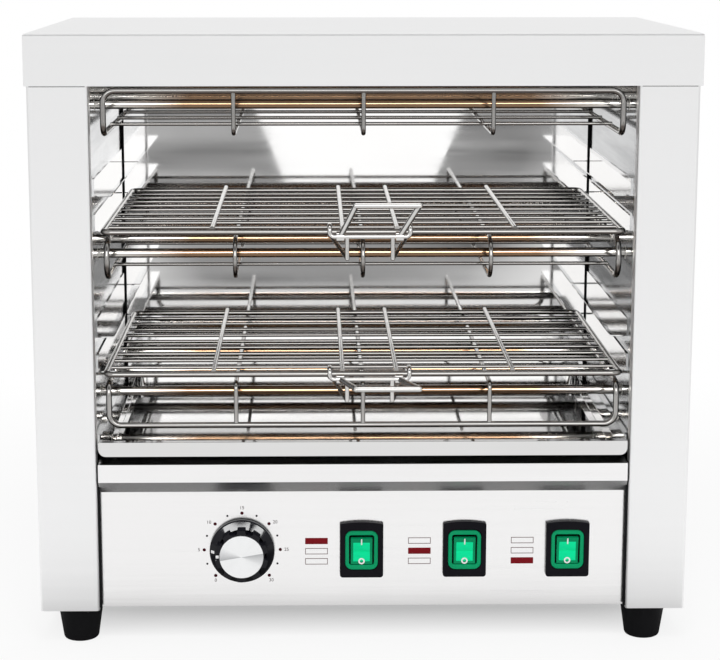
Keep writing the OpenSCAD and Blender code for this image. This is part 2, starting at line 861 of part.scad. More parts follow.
module rack(z) {
    x = rack_half - frame_wire / 2;
    pitch = (rack_rear - rack_front) / (cross_count + 1);
    rod_z = z + cross_wire / 2 + rack_rod / 2 - weld;
    wire_loop([[-x, rack_front, z], [x, rack_front, z], [x, rack_rear, z], [-x, rack_rear, z]],
        frame_wire, rack_bend);
    for (i = [1:cross_count])
        rod([-x, rack_front + i * pitch, z], [x, rack_front + i * pitch, z], cross_wire);
    for (rx = [-outer_rod_x, handle_x - inner_rod_x, handle_x + inner_rod_x, outer_rod_x])
        rod([rx, rack_front, rod_z], [rx, rack_rear, rod_z], rack_rod);
}

module upper_rack() color(wire_steel) from_front() rack(upper_rack_z);

module lower_rack() color(wire_steel) from_front() rack(lower_rack_z);

// Wire bracket hooked over the front bar of a rack
module handle_bracket(z) {
    half = bracket_w / 2;
    front = pivot_y;
    back = rack_front + bracket_back;
    rear = rack_front + bracket_rear;
    wire_z = z - bracket_sink;
    under = z - bracket_under;
    translate([handle_x, 0, 0]) {
        wire_loop([
            [half, front, wire_z], [half, front, z + bracket_lift], [half, back, z + bracket_lift],
            [half, back, under], [half, rear, under], [-half, rear, under], [-half, back, under],
            [-half, back, z + bracket_lift], [-half, front, z + bracket_lift], [-half, front, wire_z]
        ], bracket_wire, bracket_bend);
        for (side = [-1, 1]) {
            foot = [side * leg_x, front, wire_z - leg_len];
            rod([side * leg_x, front, wire_z], foot, bracket_wire);
            translate(foot) sphere(d = bracket_wire, $fn = wire_fn);
            rod(foot, [side * half, (back + rear) / 2, under], bracket_wire);
        }
    }
}

module upper_handle_bracket() color(wire_steel) from_front() handle_bracket(upper_rack_z);

module lower_handle_bracket() color(wire_steel) from_front() handle_bracket(lower_rack_z);

// Wire bail that turns on the front wire of a bracket, raised by an angle from lying forward
module bail(z, angle) {
    pivot = eyelet_pitch / 2;
    left = [-pivot, 0, 0];
    right = [pivot, 0, 0];
    grip_left = [bail_lean - bail_w / 2, -bail_len, 0];
    grip_right = [bail_lean + bail_w / 2, -bail_len, 0];
    translate([handle_x, pivot_y, z - bracket_sink]) rotate([-angle, 0, 0]) difference() {
        union() {
            rod(left - bail_overrun * unit(grip_left - left), grip_left, bail_wire);
            rod(grip_left, grip_right, bail_wire);
            rod(right - bail_overrun * unit(grip_right - right), grip_right, bail_wire);
            for (corner = [grip_left, grip_right])
                translate(corner) sphere(d = bail_corner_d, $fn = wire_fn);
            for (x = [-pivot, pivot])
                rod([x - eyelet_w / 2, 0, 0], [x + eyelet_w / 2, 0, 0], eyelet_d);
        }
        for (x = [-pivot, pivot])
            rod([x - eyelet_w, 0, 0], [x + eyelet_w, 0, 0], eyelet_bore);
    }
}

module upper_bail() color(wire_steel) from_front() bail(upper_rack_z, upper_bail_angle);

module lower_bail() color(wire_steel) from_front() bail(lower_rack_z, 0);

// Drip tray

module drip_tray() color(polished) from_front() {
    x = opening_x - tray_side_gap;
    bx = x - rim_w;
    by0 = rim_w;
    by1 = tray_d - rim_w;
    lip_r = lip_h / 2;
    difference() {
        union() {
            block([-x, 0, rim_z - tray_t], [x, tray_d, rim_z]);
            translate([0, 0, rim_z - basin_depth - tray_t])
                linear_extrude(basin_depth) round_rect([-bx, by0], [bx, by1], basin_r);
            along_y(0, tray_t) {
                round_rect([-x, rim_z - lip_h], [x, rim_z + lip_h], lip_r);
            }
        }
        translate([0, 0, rim_z - basin_depth])
            linear_extrude(basin_depth + lip_h)
                round_rect([-bx + tray_t, by0 + tray_t], [bx - tray_t, by1 - tray_t], basin_r - tray_t);
        block([-case_w, -eps, rim_z], [case_w, tray_d, rim_z + 2 * lip_h]);
    }
}

// Timer

module at_timer() {
    translate([-timer_x, face_y, control_z]) rotate([90, 0, 0]) children();
}

module timer_knob() color(black) from_front() at_timer() {
    groove_r = PI * grip_d / groove_count / 4;
    difference() {
        translate([0, 0, knob_gap]) union() {
            cylinder(h = skirt_t, d = skirt_d);
            difference() {
                cylinder(h = knob_h, d = grip_d);
                for (i = [0:groove_count - 1])
                    rotate([0, 0, i * 360 / groove_count])
                        translate([grip_d / 2, 0, skirt_t])
                            cylinder(h = knob_h, r = groove_r, $fn = wire_fn);
            }
        }
        cylinder(h = knob_hollow_h, d = knob_hollow_d);
        cylinder(h = knob_gap + knob_h - knob_crown, d = knob_bore);
    }
}

module knob_cap() color("silver") from_front() at_timer() {
    translate([0, 0, knob_gap + knob_h]) cylinder(h = cap_t, d = cap_d);
}

module timer_shaft() color("silver") from_front() at_timer() {
    translate([0, 0, -timer_case_d / 2])
        cylinder(h = timer_case_d / 2 + knob_gap + knob_h - knob_crown - slip, d = shaft_d);
}

module timer_body() color("gainsboro") from_front() at_timer() {
    difference() {
        union() {
            translate([-timer_w / 2, -timer_w / 2, -timer_case_d - sheet_t])
                cube([timer_w, timer_w, timer_case_d]);
            translate([0, 0, -timer_case_d / 2])
                cylinder(h = timer_case_d / 2 + timer_bush_len, d = timer_bush_d);
        }
        translate([0, 0, -timer_case_d / 2 - slip]) cylinder(h = timer_case_d, d = shaft_bore);
    }
}

module timer_nut() color("silver") from_front() at_timer() {
    difference() {
        cylinder(h = timer_nut_t, d = timer_nut_d, $fn = 6);
        translate([0, 0, -over]) cylinder(h = timer_nut_t + 2 * over, d = timer_bush_d + 2 * running_fit);
    }
}

// Switches

module at_switch(i) {
    translate([switch_places[i], face_y, control_z]) rotate([90, 0, 0]) children();
}

module bezel_outline() {
    half = bezel_h / 2;
    arch_r = (pow(bezel_w / 2, 2) + pow(bezel_arch, 2)) / (2 * bezel_arch);
    intersection() {
        round_rect([-bezel_w / 2, -half], [bezel_w / 2, half + bezel_arch], bezel_r);
        translate([0, half - arch_r + bezel_arch / 2]) circle(arch_r, $fn = 180);
    }
}

module switch_frame(i) color(black) from_front() at_switch(i) {
    w = boot_w / 2 + slip;
    h = boot_h / 2 + slip;
    difference() {
        linear_extrude(bezel_t) bezel_outline();
        translate([0, 0, -over])
            linear_extrude(bezel_t + 2 * over) round_rect([-w, -h], [w, h], boot_r);
    }
}

module switch_boot(i) color("seagreen") from_front() at_switch(i) {
    w = rocker_w / 2 + rocker_gap;
    h = rocker_h / 2 + rocker_gap;
    difference() {
        linear_extrude(bezel_t - boot_sink)
            round_rect([-boot_w / 2, -boot_h / 2], [boot_w / 2, boot_h / 2], boot_r);
        translate([0, 0, -over])
            linear_extrude(bezel_t + 2 * over) round_rect([-w, -h], [w, h], rocker_hole_r);
    }
}

module rocker(i) color("mediumspringgreen") from_front() at_switch(i) {
    w = rocker_w / 2;
    h = rocker_h / 2;
    crown = bezel_t + pivot_depth - rocker_sink;
    fall = h * tan(rocker_tilt);
    root = axle_d / 2 + well_gap;
    translate([0, 0, -pivot_depth]) rotate([rocker_tilt, 0, 0]) {
        rotate([90, 0, 90]) translate([0, 0, -w])
            linear_extrude(rocker_w)
                polygon([[-h, crown + fall], [0, crown], [h, crown + fall], [h, crown - rocker_edge],
                    [root, -root], [-root, -root], [-h, crown - rocker_edge]]);
        rod([-w - axle_stub, 0, 0], [w + axle_stub, 0, 0], axle_d);
    }
}

module switch_body(i) color(black) from_front() at_switch(i) {
    w = rocker_w / 2 + well_gap;
    h = rocker_h / 2 + rocker_gap;
    well = 2 * pivot_depth;
    hole = rocker_w / 2 + axle_stub + slip;
    difference() {
        block([-boot_w / 2, -boot_h / 2, -switch_d], [boot_w / 2, boot_h / 2, 0]);
        block([-w, -h, -well], [w, h, over]);
        translate([0, 0, -pivot_depth])
            rod([-hole, 0, 0], [hole, 0, 0], axle_d + 2 * running_fit);
    }
    for (z = [-tab_pitch, 0, tab_pitch])
        block([-tab_w / 2, z - tab_t / 2, -switch_d - tab_len],
            [tab_w / 2, z + tab_t / 2, -switch_d + eps]);
}

module top_switch_frame() switch_frame(0);

module middle_switch_frame() switch_frame(1);

module bottom_switch_frame() switch_frame(2);

module top_switch_boot() switch_boot(0);

module middle_switch_boot() switch_boot(1);

module bottom_switch_boot() switch_boot(2);

module top_rocker() rocker(0);

module middle_rocker() rocker(1);

module bottom_rocker() rocker(2);

module top_switch_body() switch_body(0);

module middle_switch_body() switch_body(1);

module bottom_switch_body() switch_body(2);

// Mains entry

module terminal_block() color("ivory") from_front() {
    y0 = case_d - block_back;
    z0 = foot_h + sheet_t;
    x0 = gland_x - block_ways * block_way;
    difference() {
        block([x0, y0, z0], [gland_x, y0 + block_d, z0 + block_h]);
        for (i = [0:block_ways - 1])
            translate([x0 + (i + 0.5) * block_way, y0 - over, z0 + block_h / 2])
                rotate([-90, 0, 0]) cylinder(h = block_d + 2 * over, d = block_hole_d);
    }
}

module cable_gland() color(black) from_front() {
    translate([gland_x, case_d, gland_z]) rotate([-90, 0, 0]) difference() {
        union() {
            translate([0, 0, -gland_in]) cylinder(h = gland_in + gland_out, d = gland_thread_d);
            cylinder(h = gland_hex_t, d = gland_hex_d, $fn = 6);
            cylinder(h = gland_out - gland_lip, d = gland_cap_d);
        }
        translate([0, 0, -gland_in - over]) cylinder(h = gland_in + gland_out + 2 * over, d = gland_bore);
    }
}

module gland_nut() color(black) from_front() {
    translate([gland_x, case_d - sheet_t, gland_z]) rotate([90, 0, 0]) difference() {
        cylinder(h = gland_hex_t, d = gland_hex_d, $fn = 6);
        translate([0, 0, -over])
            cylinder(h = gland_hex_t + 2 * over, d = gland_thread_d + 2 * running_fit);
    }
}

// Feet and screws

module at_feet() {
    for (x = [-foot_x, foot_x], y = foot_y)
        translate([x, y, 0]) children();
}

module feet() color(black) from_front() at_feet() {
    difference() {
        rotate_extrude() polygon([[0, 0], [foot_bottom_d / 2 - foot_bevel, 0],
            [foot_bottom_d / 2, foot_bevel], [foot_top_d / 2, foot_h], [0, foot_h]]);
        translate([0, 0, -over]) cylinder(h = foot_h + 2 * over, d = hole_d);
        translate([0, 0, -over]) cylinder(h = foot_recess + over, d = recess_d);
    }
}

module dome_screw(len) {
    ball_r = (pow(screw_head_d / 2, 2) + pow(screw_head_h, 2)) / (2 * screw_head_h);
    intersection() {
        translate([0, 0, screw_head_h - ball_r]) sphere(ball_r);
        cylinder(h = 2 * screw_head_h, d = 2 * screw_head_d);
    }
    translate([0, 0, -len]) cylinder(h = len + eps, d = screw_d);
}

module foot_screws() color("silver") from_front() at_feet() {
    translate([0, 0, foot_recess]) mirror([0, 0, 1]) dome_screw(foot_screw_len);
}

module panel_screws() color("silver") from_front() {
    for (x = [-panel_screw_x, 0, panel_screw_x])
        translate([x, face_y + flange_d / 2, foot_h]) mirror([0, 0, 1])
            dome_screw(screw_len);
}

module rear_screws() color("silver") from_front() {
    for (x = [-rear_screw_x, rear_screw_x]) {
        for (z = rear_screw_z)
            translate([x, case_d, z]) rotate([-90, 0, 0]) dome_screw(screw_len);
        translate([x, case_d + cover_fit + sheet_t, cover_screw_z])
            rotate([-90, 0, 0]) dome_screw(screw_len);
    }
}

top_cover();
left_side_panel();
right_side_panel();
rear_panel();
base_plate();
control_panel();
left_liner();
right_liner();
back_liner();
ceiling_plate();
oven_floor();
left_rack_rails();
right_rack_rails();
left_tray_runner();
right_tray_runner();
top_front_heater();
top_middle_heater();
top_rear_heater();
middle_front_heater();
middle_middle_heater();
middle_rear_heater();
bottom_front_heater();
bottom_middle_heater();
bottom_rear_heater();
heater_bushes();
heater_terminals();
top_guard();
middle_guard();
bottom_guard();
upper_rack();
lower_rack();
upper_handle_bracket();
lower_handle_bracket();
upper_bail();
lower_bail();
drip_tray();
timer_knob();
knob_cap();
timer_shaft();
timer_body();
timer_nut();
top_switch_frame();
middle_switch_frame();
bottom_switch_frame();
top_switch_boot();
middle_switch_boot();
bottom_switch_boot();
top_rocker();
middle_rocker();
bottom_rocker();
top_switch_body();
middle_switch_body();
bottom_switch_body();
terminal_block();
cable_gland();
gland_nut();
feet();
foot_screws();
panel_screws();
rear_screws();
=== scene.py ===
import json
import math

import bmesh
import bpy
from mathutils import Matrix, Vector

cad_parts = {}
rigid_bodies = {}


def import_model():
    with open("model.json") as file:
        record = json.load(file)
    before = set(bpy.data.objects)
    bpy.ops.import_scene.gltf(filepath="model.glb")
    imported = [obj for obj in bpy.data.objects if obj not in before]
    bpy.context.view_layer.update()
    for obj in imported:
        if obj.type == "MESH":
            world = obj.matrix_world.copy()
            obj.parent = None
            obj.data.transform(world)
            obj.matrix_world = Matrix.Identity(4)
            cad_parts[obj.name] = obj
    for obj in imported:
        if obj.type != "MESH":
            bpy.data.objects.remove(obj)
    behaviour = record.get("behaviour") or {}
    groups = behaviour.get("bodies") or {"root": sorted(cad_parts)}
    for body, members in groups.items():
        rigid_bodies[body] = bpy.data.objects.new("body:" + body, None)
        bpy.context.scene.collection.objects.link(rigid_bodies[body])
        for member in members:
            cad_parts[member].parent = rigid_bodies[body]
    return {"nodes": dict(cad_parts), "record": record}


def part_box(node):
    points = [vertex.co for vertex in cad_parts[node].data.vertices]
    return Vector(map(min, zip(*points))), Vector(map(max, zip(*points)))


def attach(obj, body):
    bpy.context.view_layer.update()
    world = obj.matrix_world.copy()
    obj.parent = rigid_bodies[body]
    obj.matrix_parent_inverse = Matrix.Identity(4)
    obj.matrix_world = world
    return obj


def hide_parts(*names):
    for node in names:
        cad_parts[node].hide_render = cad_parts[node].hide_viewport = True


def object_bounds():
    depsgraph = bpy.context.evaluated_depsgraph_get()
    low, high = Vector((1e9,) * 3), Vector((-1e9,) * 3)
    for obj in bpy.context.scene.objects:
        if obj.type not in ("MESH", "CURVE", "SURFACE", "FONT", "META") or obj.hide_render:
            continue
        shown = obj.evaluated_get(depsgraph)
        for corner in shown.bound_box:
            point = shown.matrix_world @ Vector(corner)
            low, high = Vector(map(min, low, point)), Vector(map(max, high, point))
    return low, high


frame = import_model()
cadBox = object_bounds()
record = frame["record"]
nodes = frame["nodes"]
bodyOf = {node: body for body, group in record["behaviour"]["bodies"].items() for node in group}
slotOf = {row["node"]: row["material_slot"] for row in record["subparts"]}
mm = 0.001
rowNames = ("top", "middle", "bottom")
print("frame loaded:", len(nodes), "nodes")


def middleOf(node):
    low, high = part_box(node)
    return (low + high) / 2


# Camera, a little to the left of the middle and above the cover
cameraPlace = {
    "left": 34 * mm,
    "ahead": 1200 * mm,      # in front of the side panels
    "above": 59.6 * mm,      # over the top of the cover
    "downDegrees": 9.77,
    "rightDegrees": 0.85,
    "lens": 92.5,
    "shift": (0.0288, -0.10),
}


def makeCamera(place):
    lens = bpy.data.cameras.new("camera")
    lens.lens = place["lens"]
    lens.shift_x, lens.shift_y = place["shift"]
    camera = bpy.data.objects.new("camera", lens)
    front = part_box("left_side_panel")[0].y
    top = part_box("top_cover")[1].z
    camera.location = (-place["left"], front - place["ahead"], top + place["above"])
    tilt, turn = math.radians(90 - place["downDegrees"]), -math.radians(place["rightDegrees"])
    camera.rotation_euler = (tilt, 0, turn)
    bpy.context.scene.collection.objects.link(camera)
    bpy.context.scene.camera = camera


# Small helpers for node trees
def addNode(tree, kind, values=None, **settings):
    node = tree.nodes.new(kind)
    for key, value in settings.items():
        setattr(node, key, value)
    for key, value in (values or {}).items():
        node.inputs[key].default_value = value
    return node


def newGroup(name, inputs, outputs):
    tree = bpy.data.node_groups.new(name, "ShaderNodeTree")
    for label, kind, value in inputs:
        socket = tree.interface.new_socket(name=label, in_out="INPUT", socket_type=kind)
        socket.default_value = value
    for label in outputs:
        tree.interface.new_socket(name=label, in_out="OUTPUT", socket_type="NodeSocketFloat")
    return tree, tree.nodes.new("NodeGroupInput"), tree.nodes.new("NodeGroupOutput")


def fillGroup(tree, group, values):
    node = tree.nodes.new("ShaderNodeGroup")
    node.node_tree = group
    for key, value in values.items():
        node.inputs[key].default_value = value
    return node


def newMaterial(name):
    material = bpy.data.materials.new(name)
    material.use_nodes = True
    tree = material.node_tree
    return material, tree, tree.nodes["Principled BSDF"]


def mixColour(tree, factor, first, second):
    mix = addNode(tree, "ShaderNodeMix", data_type="RGBA")
    tree.links.new(factor, mix.inputs[0])
    for socket, colour in ((mix.inputs[6], first), (mix.inputs[7], second)):
        if isinstance(colour, tuple):
            socket.default_value = (*colour, 1)
        else:
            tree.links.new(colour, socket)
    return mix.outputs[2]


def spread(tree, value, low, high, start=0.0, end=1.0):
    node = addNode(tree, "ShaderNodeMapRange",
                   {"From Min": start, "From Max": end, "To Min": low, "To Max": high})
    tree.links.new(value, node.inputs["Value"])
    return node.outputs["Result"]


def combine(tree, operation, first, second=None):
    node = addNode(tree, "ShaderNodeMath", operation=operation)
    for socket, value in zip(node.inputs, (first, second)):
        if isinstance(value, (int, float)):
            socket.default_value = value
        elif value is not None:
            tree.links.new(value, socket)
    return node.outputs["Value"]


def blendValues(tree, factor, first, second):
    mix = addNode(tree, "ShaderNodeMix", data_type="FLOAT")
    for socket, value in zip((mix.inputs[0], mix.inputs[2], mix.inputs[3]), (factor, first, second)):
        if isinstance(value, (int, float)):
            socket.default_value = value
        else:
            tree.links.new(value, socket)
    return mix.outputs[0]


def addBump(tree, shader, height, strength, distance, under=None):
    bump = addNode(tree, "ShaderNodeBump", {"Strength": strength, "Distance": distance})
    tree.links.new(height, bump.inputs["Height"])
    if under:
        tree.links.new(under.outputs["Normal"], bump.inputs["Normal"])
    tree.links.new(bump.outputs["Normal"], shader.inputs["Normal"])
    return bump


# Shared effects
def makeBrushedGrain():
    tree, given, out = newGroup("brushedGrain", [
        ("Stretch", "NodeSocketVector", (4, 4, 900)),
        ("Top Stretch", "NodeSocketVector", (4, 900, 4)),
        ("Mottle Scale", "NodeSocketFloat", 9.0)], ["Line", "Mottle"])
    place = addNode(tree, "ShaderNodeTexCoord")
    lines = []
    for label in ("Stretch", "Top Stretch"):
        mapping = addNode(tree, "ShaderNodeMapping")
        noise = addNode(tree, "ShaderNodeTexNoise", {"Scale": 1.0, "Detail": 3.0, "Roughness": 0.6})
        tree.links.new(place.outputs["Object"], mapping.inputs["Vector"])
        tree.links.new(given.outputs[label], mapping.inputs["Scale"])
        tree.links.new(mapping.outputs["Vector"], noise.inputs["Vector"])
        lines.append(noise.outputs["Fac"])
    surface = addNode(tree, "ShaderNodeNewGeometry")
    parts = addNode(tree, "ShaderNodeSeparateXYZ")
    size = addNode(tree, "ShaderNodeMath", operation="ABSOLUTE")
    isTop = addNode(tree, "ShaderNodeMath", {1: 0.7}, operation="GREATER_THAN")      # nearly level faces
    choice = addNode(tree, "ShaderNodeMix", data_type="FLOAT")
    tree.links.new(surface.outputs["Normal"], parts.inputs["Vector"])
    tree.links.new(parts.outputs["Z"], size.inputs[0])
    tree.links.new(size.outputs["Value"], isTop.inputs[0])
    tree.links.new(isTop.outputs["Value"], choice.inputs[0])
    tree.links.new(lines[0], choice.inputs[2])
    tree.links.new(lines[1], choice.inputs[3])
    mottle = addNode(tree, "ShaderNodeTexNoise", {"Detail": 4.0, "Roughness": 0.55})
    tree.links.new(place.outputs["Object"], mottle.inputs["Vector"])
    tree.links.new(given.outputs["Mottle Scale"], mottle.inputs["Scale"])
    tree.links.new(choice.outputs[0], out.inputs["Line"])
    tree.links.new(mottle.outputs["Fac"], out.inputs["Mottle"])
    return tree


def makeSoftSmudge():
    tree, given, out = newGroup("softSmudge", [
        ("Scale", "NodeSocketFloat", 14.0), ("Softness", "NodeSocketFloat", 0.5)], ["Mask"])
    place = addNode(tree, "ShaderNodeTexCoord")
    noise = addNode(tree, "ShaderNodeTexNoise", {"Detail": 5.0, "Distortion": 0.6})
    ramp = addNode(tree, "ShaderNodeMapRange", {"From Min": 0.35, "From Max": 0.7},
                   interpolation_type="SMOOTHSTEP")
    tree.links.new(place.outputs["Object"], noise.inputs["Vector"])
    tree.links.new(given.outputs["Scale"], noise.inputs["Scale"])
    tree.links.new(given.outputs["Softness"], noise.inputs["Roughness"])
    tree.links.new(noise.outputs["Fac"], ramp.inputs["Value"])
    tree.links.new(ramp.outputs["Result"], out.inputs["Mask"])
    return tree


def makeMouldedSkin():
    tree, given, out = newGroup("mouldedSkin", [("Scale", "NodeSocketFloat", 900.0)], ["Height", "Shade"])
    place = addNode(tree, "ShaderNodeTexCoord")
    fine = addNode(tree, "ShaderNodeTexNoise", {"Detail": 2.0})
    broad = addNode(tree, "ShaderNodeTexNoise", {"Scale": 40.0, "Detail": 3.0})
    tree.links.new(place.outputs["Object"], fine.inputs["Vector"])
    tree.links.new(place.outputs["Object"], broad.inputs["Vector"])
    tree.links.new(given.outputs["Scale"], fine.inputs["Scale"])
    tree.links.new(fine.outputs["Fac"], out.inputs["Height"])
    tree.links.new(broad.outputs["Fac"], out.inputs["Shade"])
    return tree


# Slow waves of a thin sheet that isn't quite flat
def makeSheetWave():
    tree, given, out = newGroup("sheetWave", [("Stretch", "NodeSocketVector", (5, 5, 12))], ["Height"])
    place = addNode(tree, "ShaderNodeTexCoord")
    mapping = addNode(tree, "ShaderNodeMapping")
    noise = addNode(tree, "ShaderNodeTexNoise", {"Scale": 1.0, "Detail": 1.0, "Roughness": 0.4})
    tree.links.new(place.outputs["Object"], mapping.inputs["Vector"])
    tree.links.new(given.outputs["Stretch"], mapping.inputs["Scale"])
    tree.links.new(mapping.outputs["Vector"], noise.inputs["Vector"])
    tree.links.new(noise.outputs["Fac"], out.inputs["Height"])
    return tree


noiseRange = (0.3, 0.7)      # where most values of a noise lie
grainDepth = 0.1 * mm
skinDepth = 0.05 * mm
brushedGrain = makeBrushedGrain()
sheetWave = makeSheetWave()
softSmudge = makeSoftSmudge()
mouldedSkin = makeMouldedSkin()


# Finishes
metalLooks = {
    "brushed_steel": {
        "dark": (0.918, 0.918, 0.920), "light": (0.940, 0.940, 0.941), "rough": (0.40, 0.48),
        "smudge": 0.03, "stretch": (7, 7, 420), "mottle": 5, "bump": 0.03, "wave": 0},
    "panel_steel": {
        "dark": (0.890, 0.883, 0.882), "light": (0.918, 0.912, 0.910), "rough": (0.17, 0.25),
        "smudge": 0.03, "stretch": (6, 6, 480), "mottle": 6, "bump": 0.03, "wave": 0},
    "polished_steel": {
        "dark": (0.69, 0.685, 0.68), "light": (0.77, 0.768, 0.765), "rough": (0.02, 0.05), "smudge": 0.02,
        "stretch": (3, 3, 120), "mottle": 9, "bump": 0.002, "wave": 0.1 * mm},
    # liner steel: its base colour is banded light and dark, painted reflections
    "liner_steel": {
        "dark": (0.30, 0.31, 0.325), "light": (0.70, 0.71, 0.725), "rough": (0.06, 0.12), "smudge": 0.04,
        "stretch": (4, 4, 70), "mottle": 9, "bump": 0.02, "wave": 0.1 * mm, "paintedReflectionBands": (0.32, 0.62)},
    # wire steel: base kept dark, painted shade; the handle steel below is its lighter copy
    "wire_steel": {
        "dark": (0.345, 0.335, 0.323), "light": (0.43, 0.42, 0.406), "rough": (0.06, 0.11), "smudge": 0.05,
        "stretch": (40, 40, 40), "mottle": 30, "bump": 0.02, "wave": 0,
        # the sides facing down are darker: painted shade
        "under": (0.11, 0.095, 0.085), "underFrom": (-0.05, -0.3)},
    # handle steel: a lighter copy of the wire steel, painted light
    "painted_light_handle_steel": {
        "dark": (0.58, 0.57, 0.555), "light": (0.70, 0.69, 0.675), "rough": (0.07, 0.13), "smudge": 0.05,
        "stretch": (40, 40, 40), "mottle": 30, "bump": 0.02, "wave": 0},
    "plated_steel": {
        "dark": (0.66, 0.66, 0.66), "light": (0.78, 0.78, 0.785), "rough": (0.14, 0.26), "smudge": 0.08,
        "stretch": (60, 60, 60), "mottle": 60, "bump": 0.03, "wave": 0},
    "brass": {
        "dark": (0.60, 0.43, 0.17), "light": (0.75, 0.57, 0.26), "rough": (0.20, 0.34), "smudge": 0.08,
        "stretch": (60, 60, 60), "mottle": 60, "bump": 0.03, "wave": 0},
}
# a darker copy of the liner steel for the right liner: painted shade
metalLooks["painted_shade_liner_steel"] = {
    **metalLooks["liner_steel"], "dark": (0.18, 0.19, 0.20), "light": (0.47, 0.48, 0.495)}


# Brushed lines along a piece, and across its level faces
def addGrain(tree, stretch, mottle):
    x, y, z = stretch
    return fillGroup(tree, brushedGrain, {
        "Stretch": stretch, "Top Stretch": (x, z, y), "Mottle Scale": mottle})


# A mask of the sides that face down, darkened on the wires as painted shade
def paintedUnderShade(tree, start, end):
    place = addNode(tree, "ShaderNodeTexCoord")
    parts = addNode(tree, "ShaderNodeSeparateXYZ")
    tree.links.new(place.outputs["Normal"], parts.inputs["Vector"])
    return spread(tree, parts.outputs["Z"], 0, 1, start, end)


def metalFinish(name, look):
    material, tree, shader = newMaterial(name)
    grain = addGrain(tree, look["stretch"], look["mottle"])
    smudge = fillGroup(tree, softSmudge, {"Scale": 2 * look["mottle"]})
    shade = grain.outputs["Mottle"]
    # painted reflections: light and dark bands of base colour along the grain stand in for reflected bands
    if "paintedReflectionBands" in look:
        shade = spread(tree, grain.outputs["Line"], 0, 1, *look["paintedReflectionBands"])
    colour = mixColour(tree, shade, look["dark"], look["light"])
    # painted shade: the base colour darkens where the surface faces down
    if "under" in look:
        colour = mixColour(tree, paintedUnderShade(tree, *look["underFrom"]), colour, look["under"])
    tree.links.new(colour, shader.inputs["Base Color"])
    rough = addNode(tree, "ShaderNodeMath", operation="MULTIPLY_ADD")
    rough.inputs[1].default_value = look["smudge"]
    tree.links.new(smudge.outputs["Mask"], rough.inputs[0])
    tree.links.new(spread(tree, grain.outputs["Line"], *look["rough"], *noiseRange), rough.inputs[2])
    tree.links.new(rough.outputs["Value"], shader.inputs["Roughness"])
    shader.inputs["Metallic"].default_value = 1
    lines = addBump(tree, shader, grain.outputs["Line"], look["bump"], grainDepth)
    if look["wave"]:
        wave = fillGroup(tree, sheetWave, {})
        addBump(tree, shader, wave.outputs["Height"], 1, look["wave"], lines)
    return material


heaterLook = {
    "hot": (0.175, 0.105, 0.060),     # tinted by use
    "warm": (0.25, 0.165, 0.105),
    "cold": (0.56, 0.54, 0.51),
    "coldFrom": 120 * mm,             # from the middle of the tube
    "coldAt": 165 * mm,
    "rough": (0.12, 0.16), "stretch": (14, 300, 300), "mottle": 16,
}


def heaterFinish(name, look):
    material, tree, shader = newMaterial(name)
    place = addNode(tree, "ShaderNodeTexCoord")
    parts = addNode(tree, "ShaderNodeSeparateXYZ")
    reach = addNode(tree, "ShaderNodeMath", operation="ABSOLUTE")
    tree.links.new(place.outputs["Object"], parts.inputs["Vector"])
    tree.links.new(parts.outputs["X"], reach.inputs[0])
    ends = spread(tree, reach.outputs["Value"], 0, 1, look["coldFrom"], look["coldAt"])
    grain = addGrain(tree, look["stretch"], look["mottle"])
    tint = mixColour(tree, grain.outputs["Mottle"], look["hot"], look["warm"])
    tree.links.new(mixColour(tree, ends, tint, look["cold"]), shader.inputs["Base Color"])
    rough = spread(tree, grain.outputs["Mottle"], *look["rough"], *noiseRange)
    tree.links.new(rough, shader.inputs["Roughness"])
    shader.inputs["Metallic"].default_value = 1
    return material


plasticLooks = {
    "knob_black": {"dark": (0.001, 0.001, 0.0015), "light": (0.002, 0.002, 0.003), "rough": (0.05, 0.10),
                   "skin": 500, "bump": 0.02, "gloss": 0.2},
    "switch_black": {"dark": (0.004, 0.004, 0.006), "light": (0.009, 0.008, 0.011), "rough": (0.26, 0.40),
                     "skin": 1400, "bump": 0.08, "gloss": 0.06},
    "boot_green": {"dark": (0.002, 0.29, 0.115), "light": (0.004, 0.36, 0.145), "rough": (0.18, 0.32),
                   "skin": 800, "bump": 0.03, "gloss": 0.08},
    "rocker_green": {"dark": (0.001, 0.25, 0.10), "light": (0.003, 0.31, 0.13), "rough": (0.16, 0.28),
                     "skin": 800, "bump": 0.02, "gloss": 0.08},
    "timer_case": {"dark": (0.60, 0.60, 0.58), "light": (0.72, 0.72, 0.70), "rough": (0.40, 0.55),
                   "skin": 700, "bump": 0.06, "gloss": 0.5},
    "terminal_ivory": {"dark": (0.66, 0.62, 0.49), "light": (0.76, 0.72, 0.58), "rough": (0.40, 0.55),
                       "skin": 700, "bump": 0.06, "gloss": 0.5},
    "ceramic": {"dark": (0.70, 0.69, 0.65), "light": (0.80, 0.79, 0.75), "rough": (0.50, 0.70),
                "skin": 500, "bump": 0.10, "gloss": 0.4},
    "rubber": {"dark": (0.004, 0.004, 0.005), "light": (0.010, 0.010, 0.011), "rough": (0.48, 0.66),
               "skin": 1100, "bump": 0.12, "gloss": 0.12},
}
plasticSmudge = 60


def plasticFinish(name, look):
    material, tree, shader = newMaterial(name)
    skin = fillGroup(tree, mouldedSkin, {"Scale": look["skin"]})
    smudge = fillGroup(tree, softSmudge, {"Scale": plasticSmudge})
    tree.links.new(mixColour(tree, skin.outputs["Shade"], look["dark"], look["light"]),
                   shader.inputs["Base Color"])
    tree.links.new(spread(tree, smudge.outputs["Mask"], *look["rough"]), shader.inputs["Roughness"])
    shader.inputs["Specular IOR Level"].default_value = look["gloss"]
    addBump(tree, shader, skin.outputs["Height"], look["bump"], skinDepth)
    return material


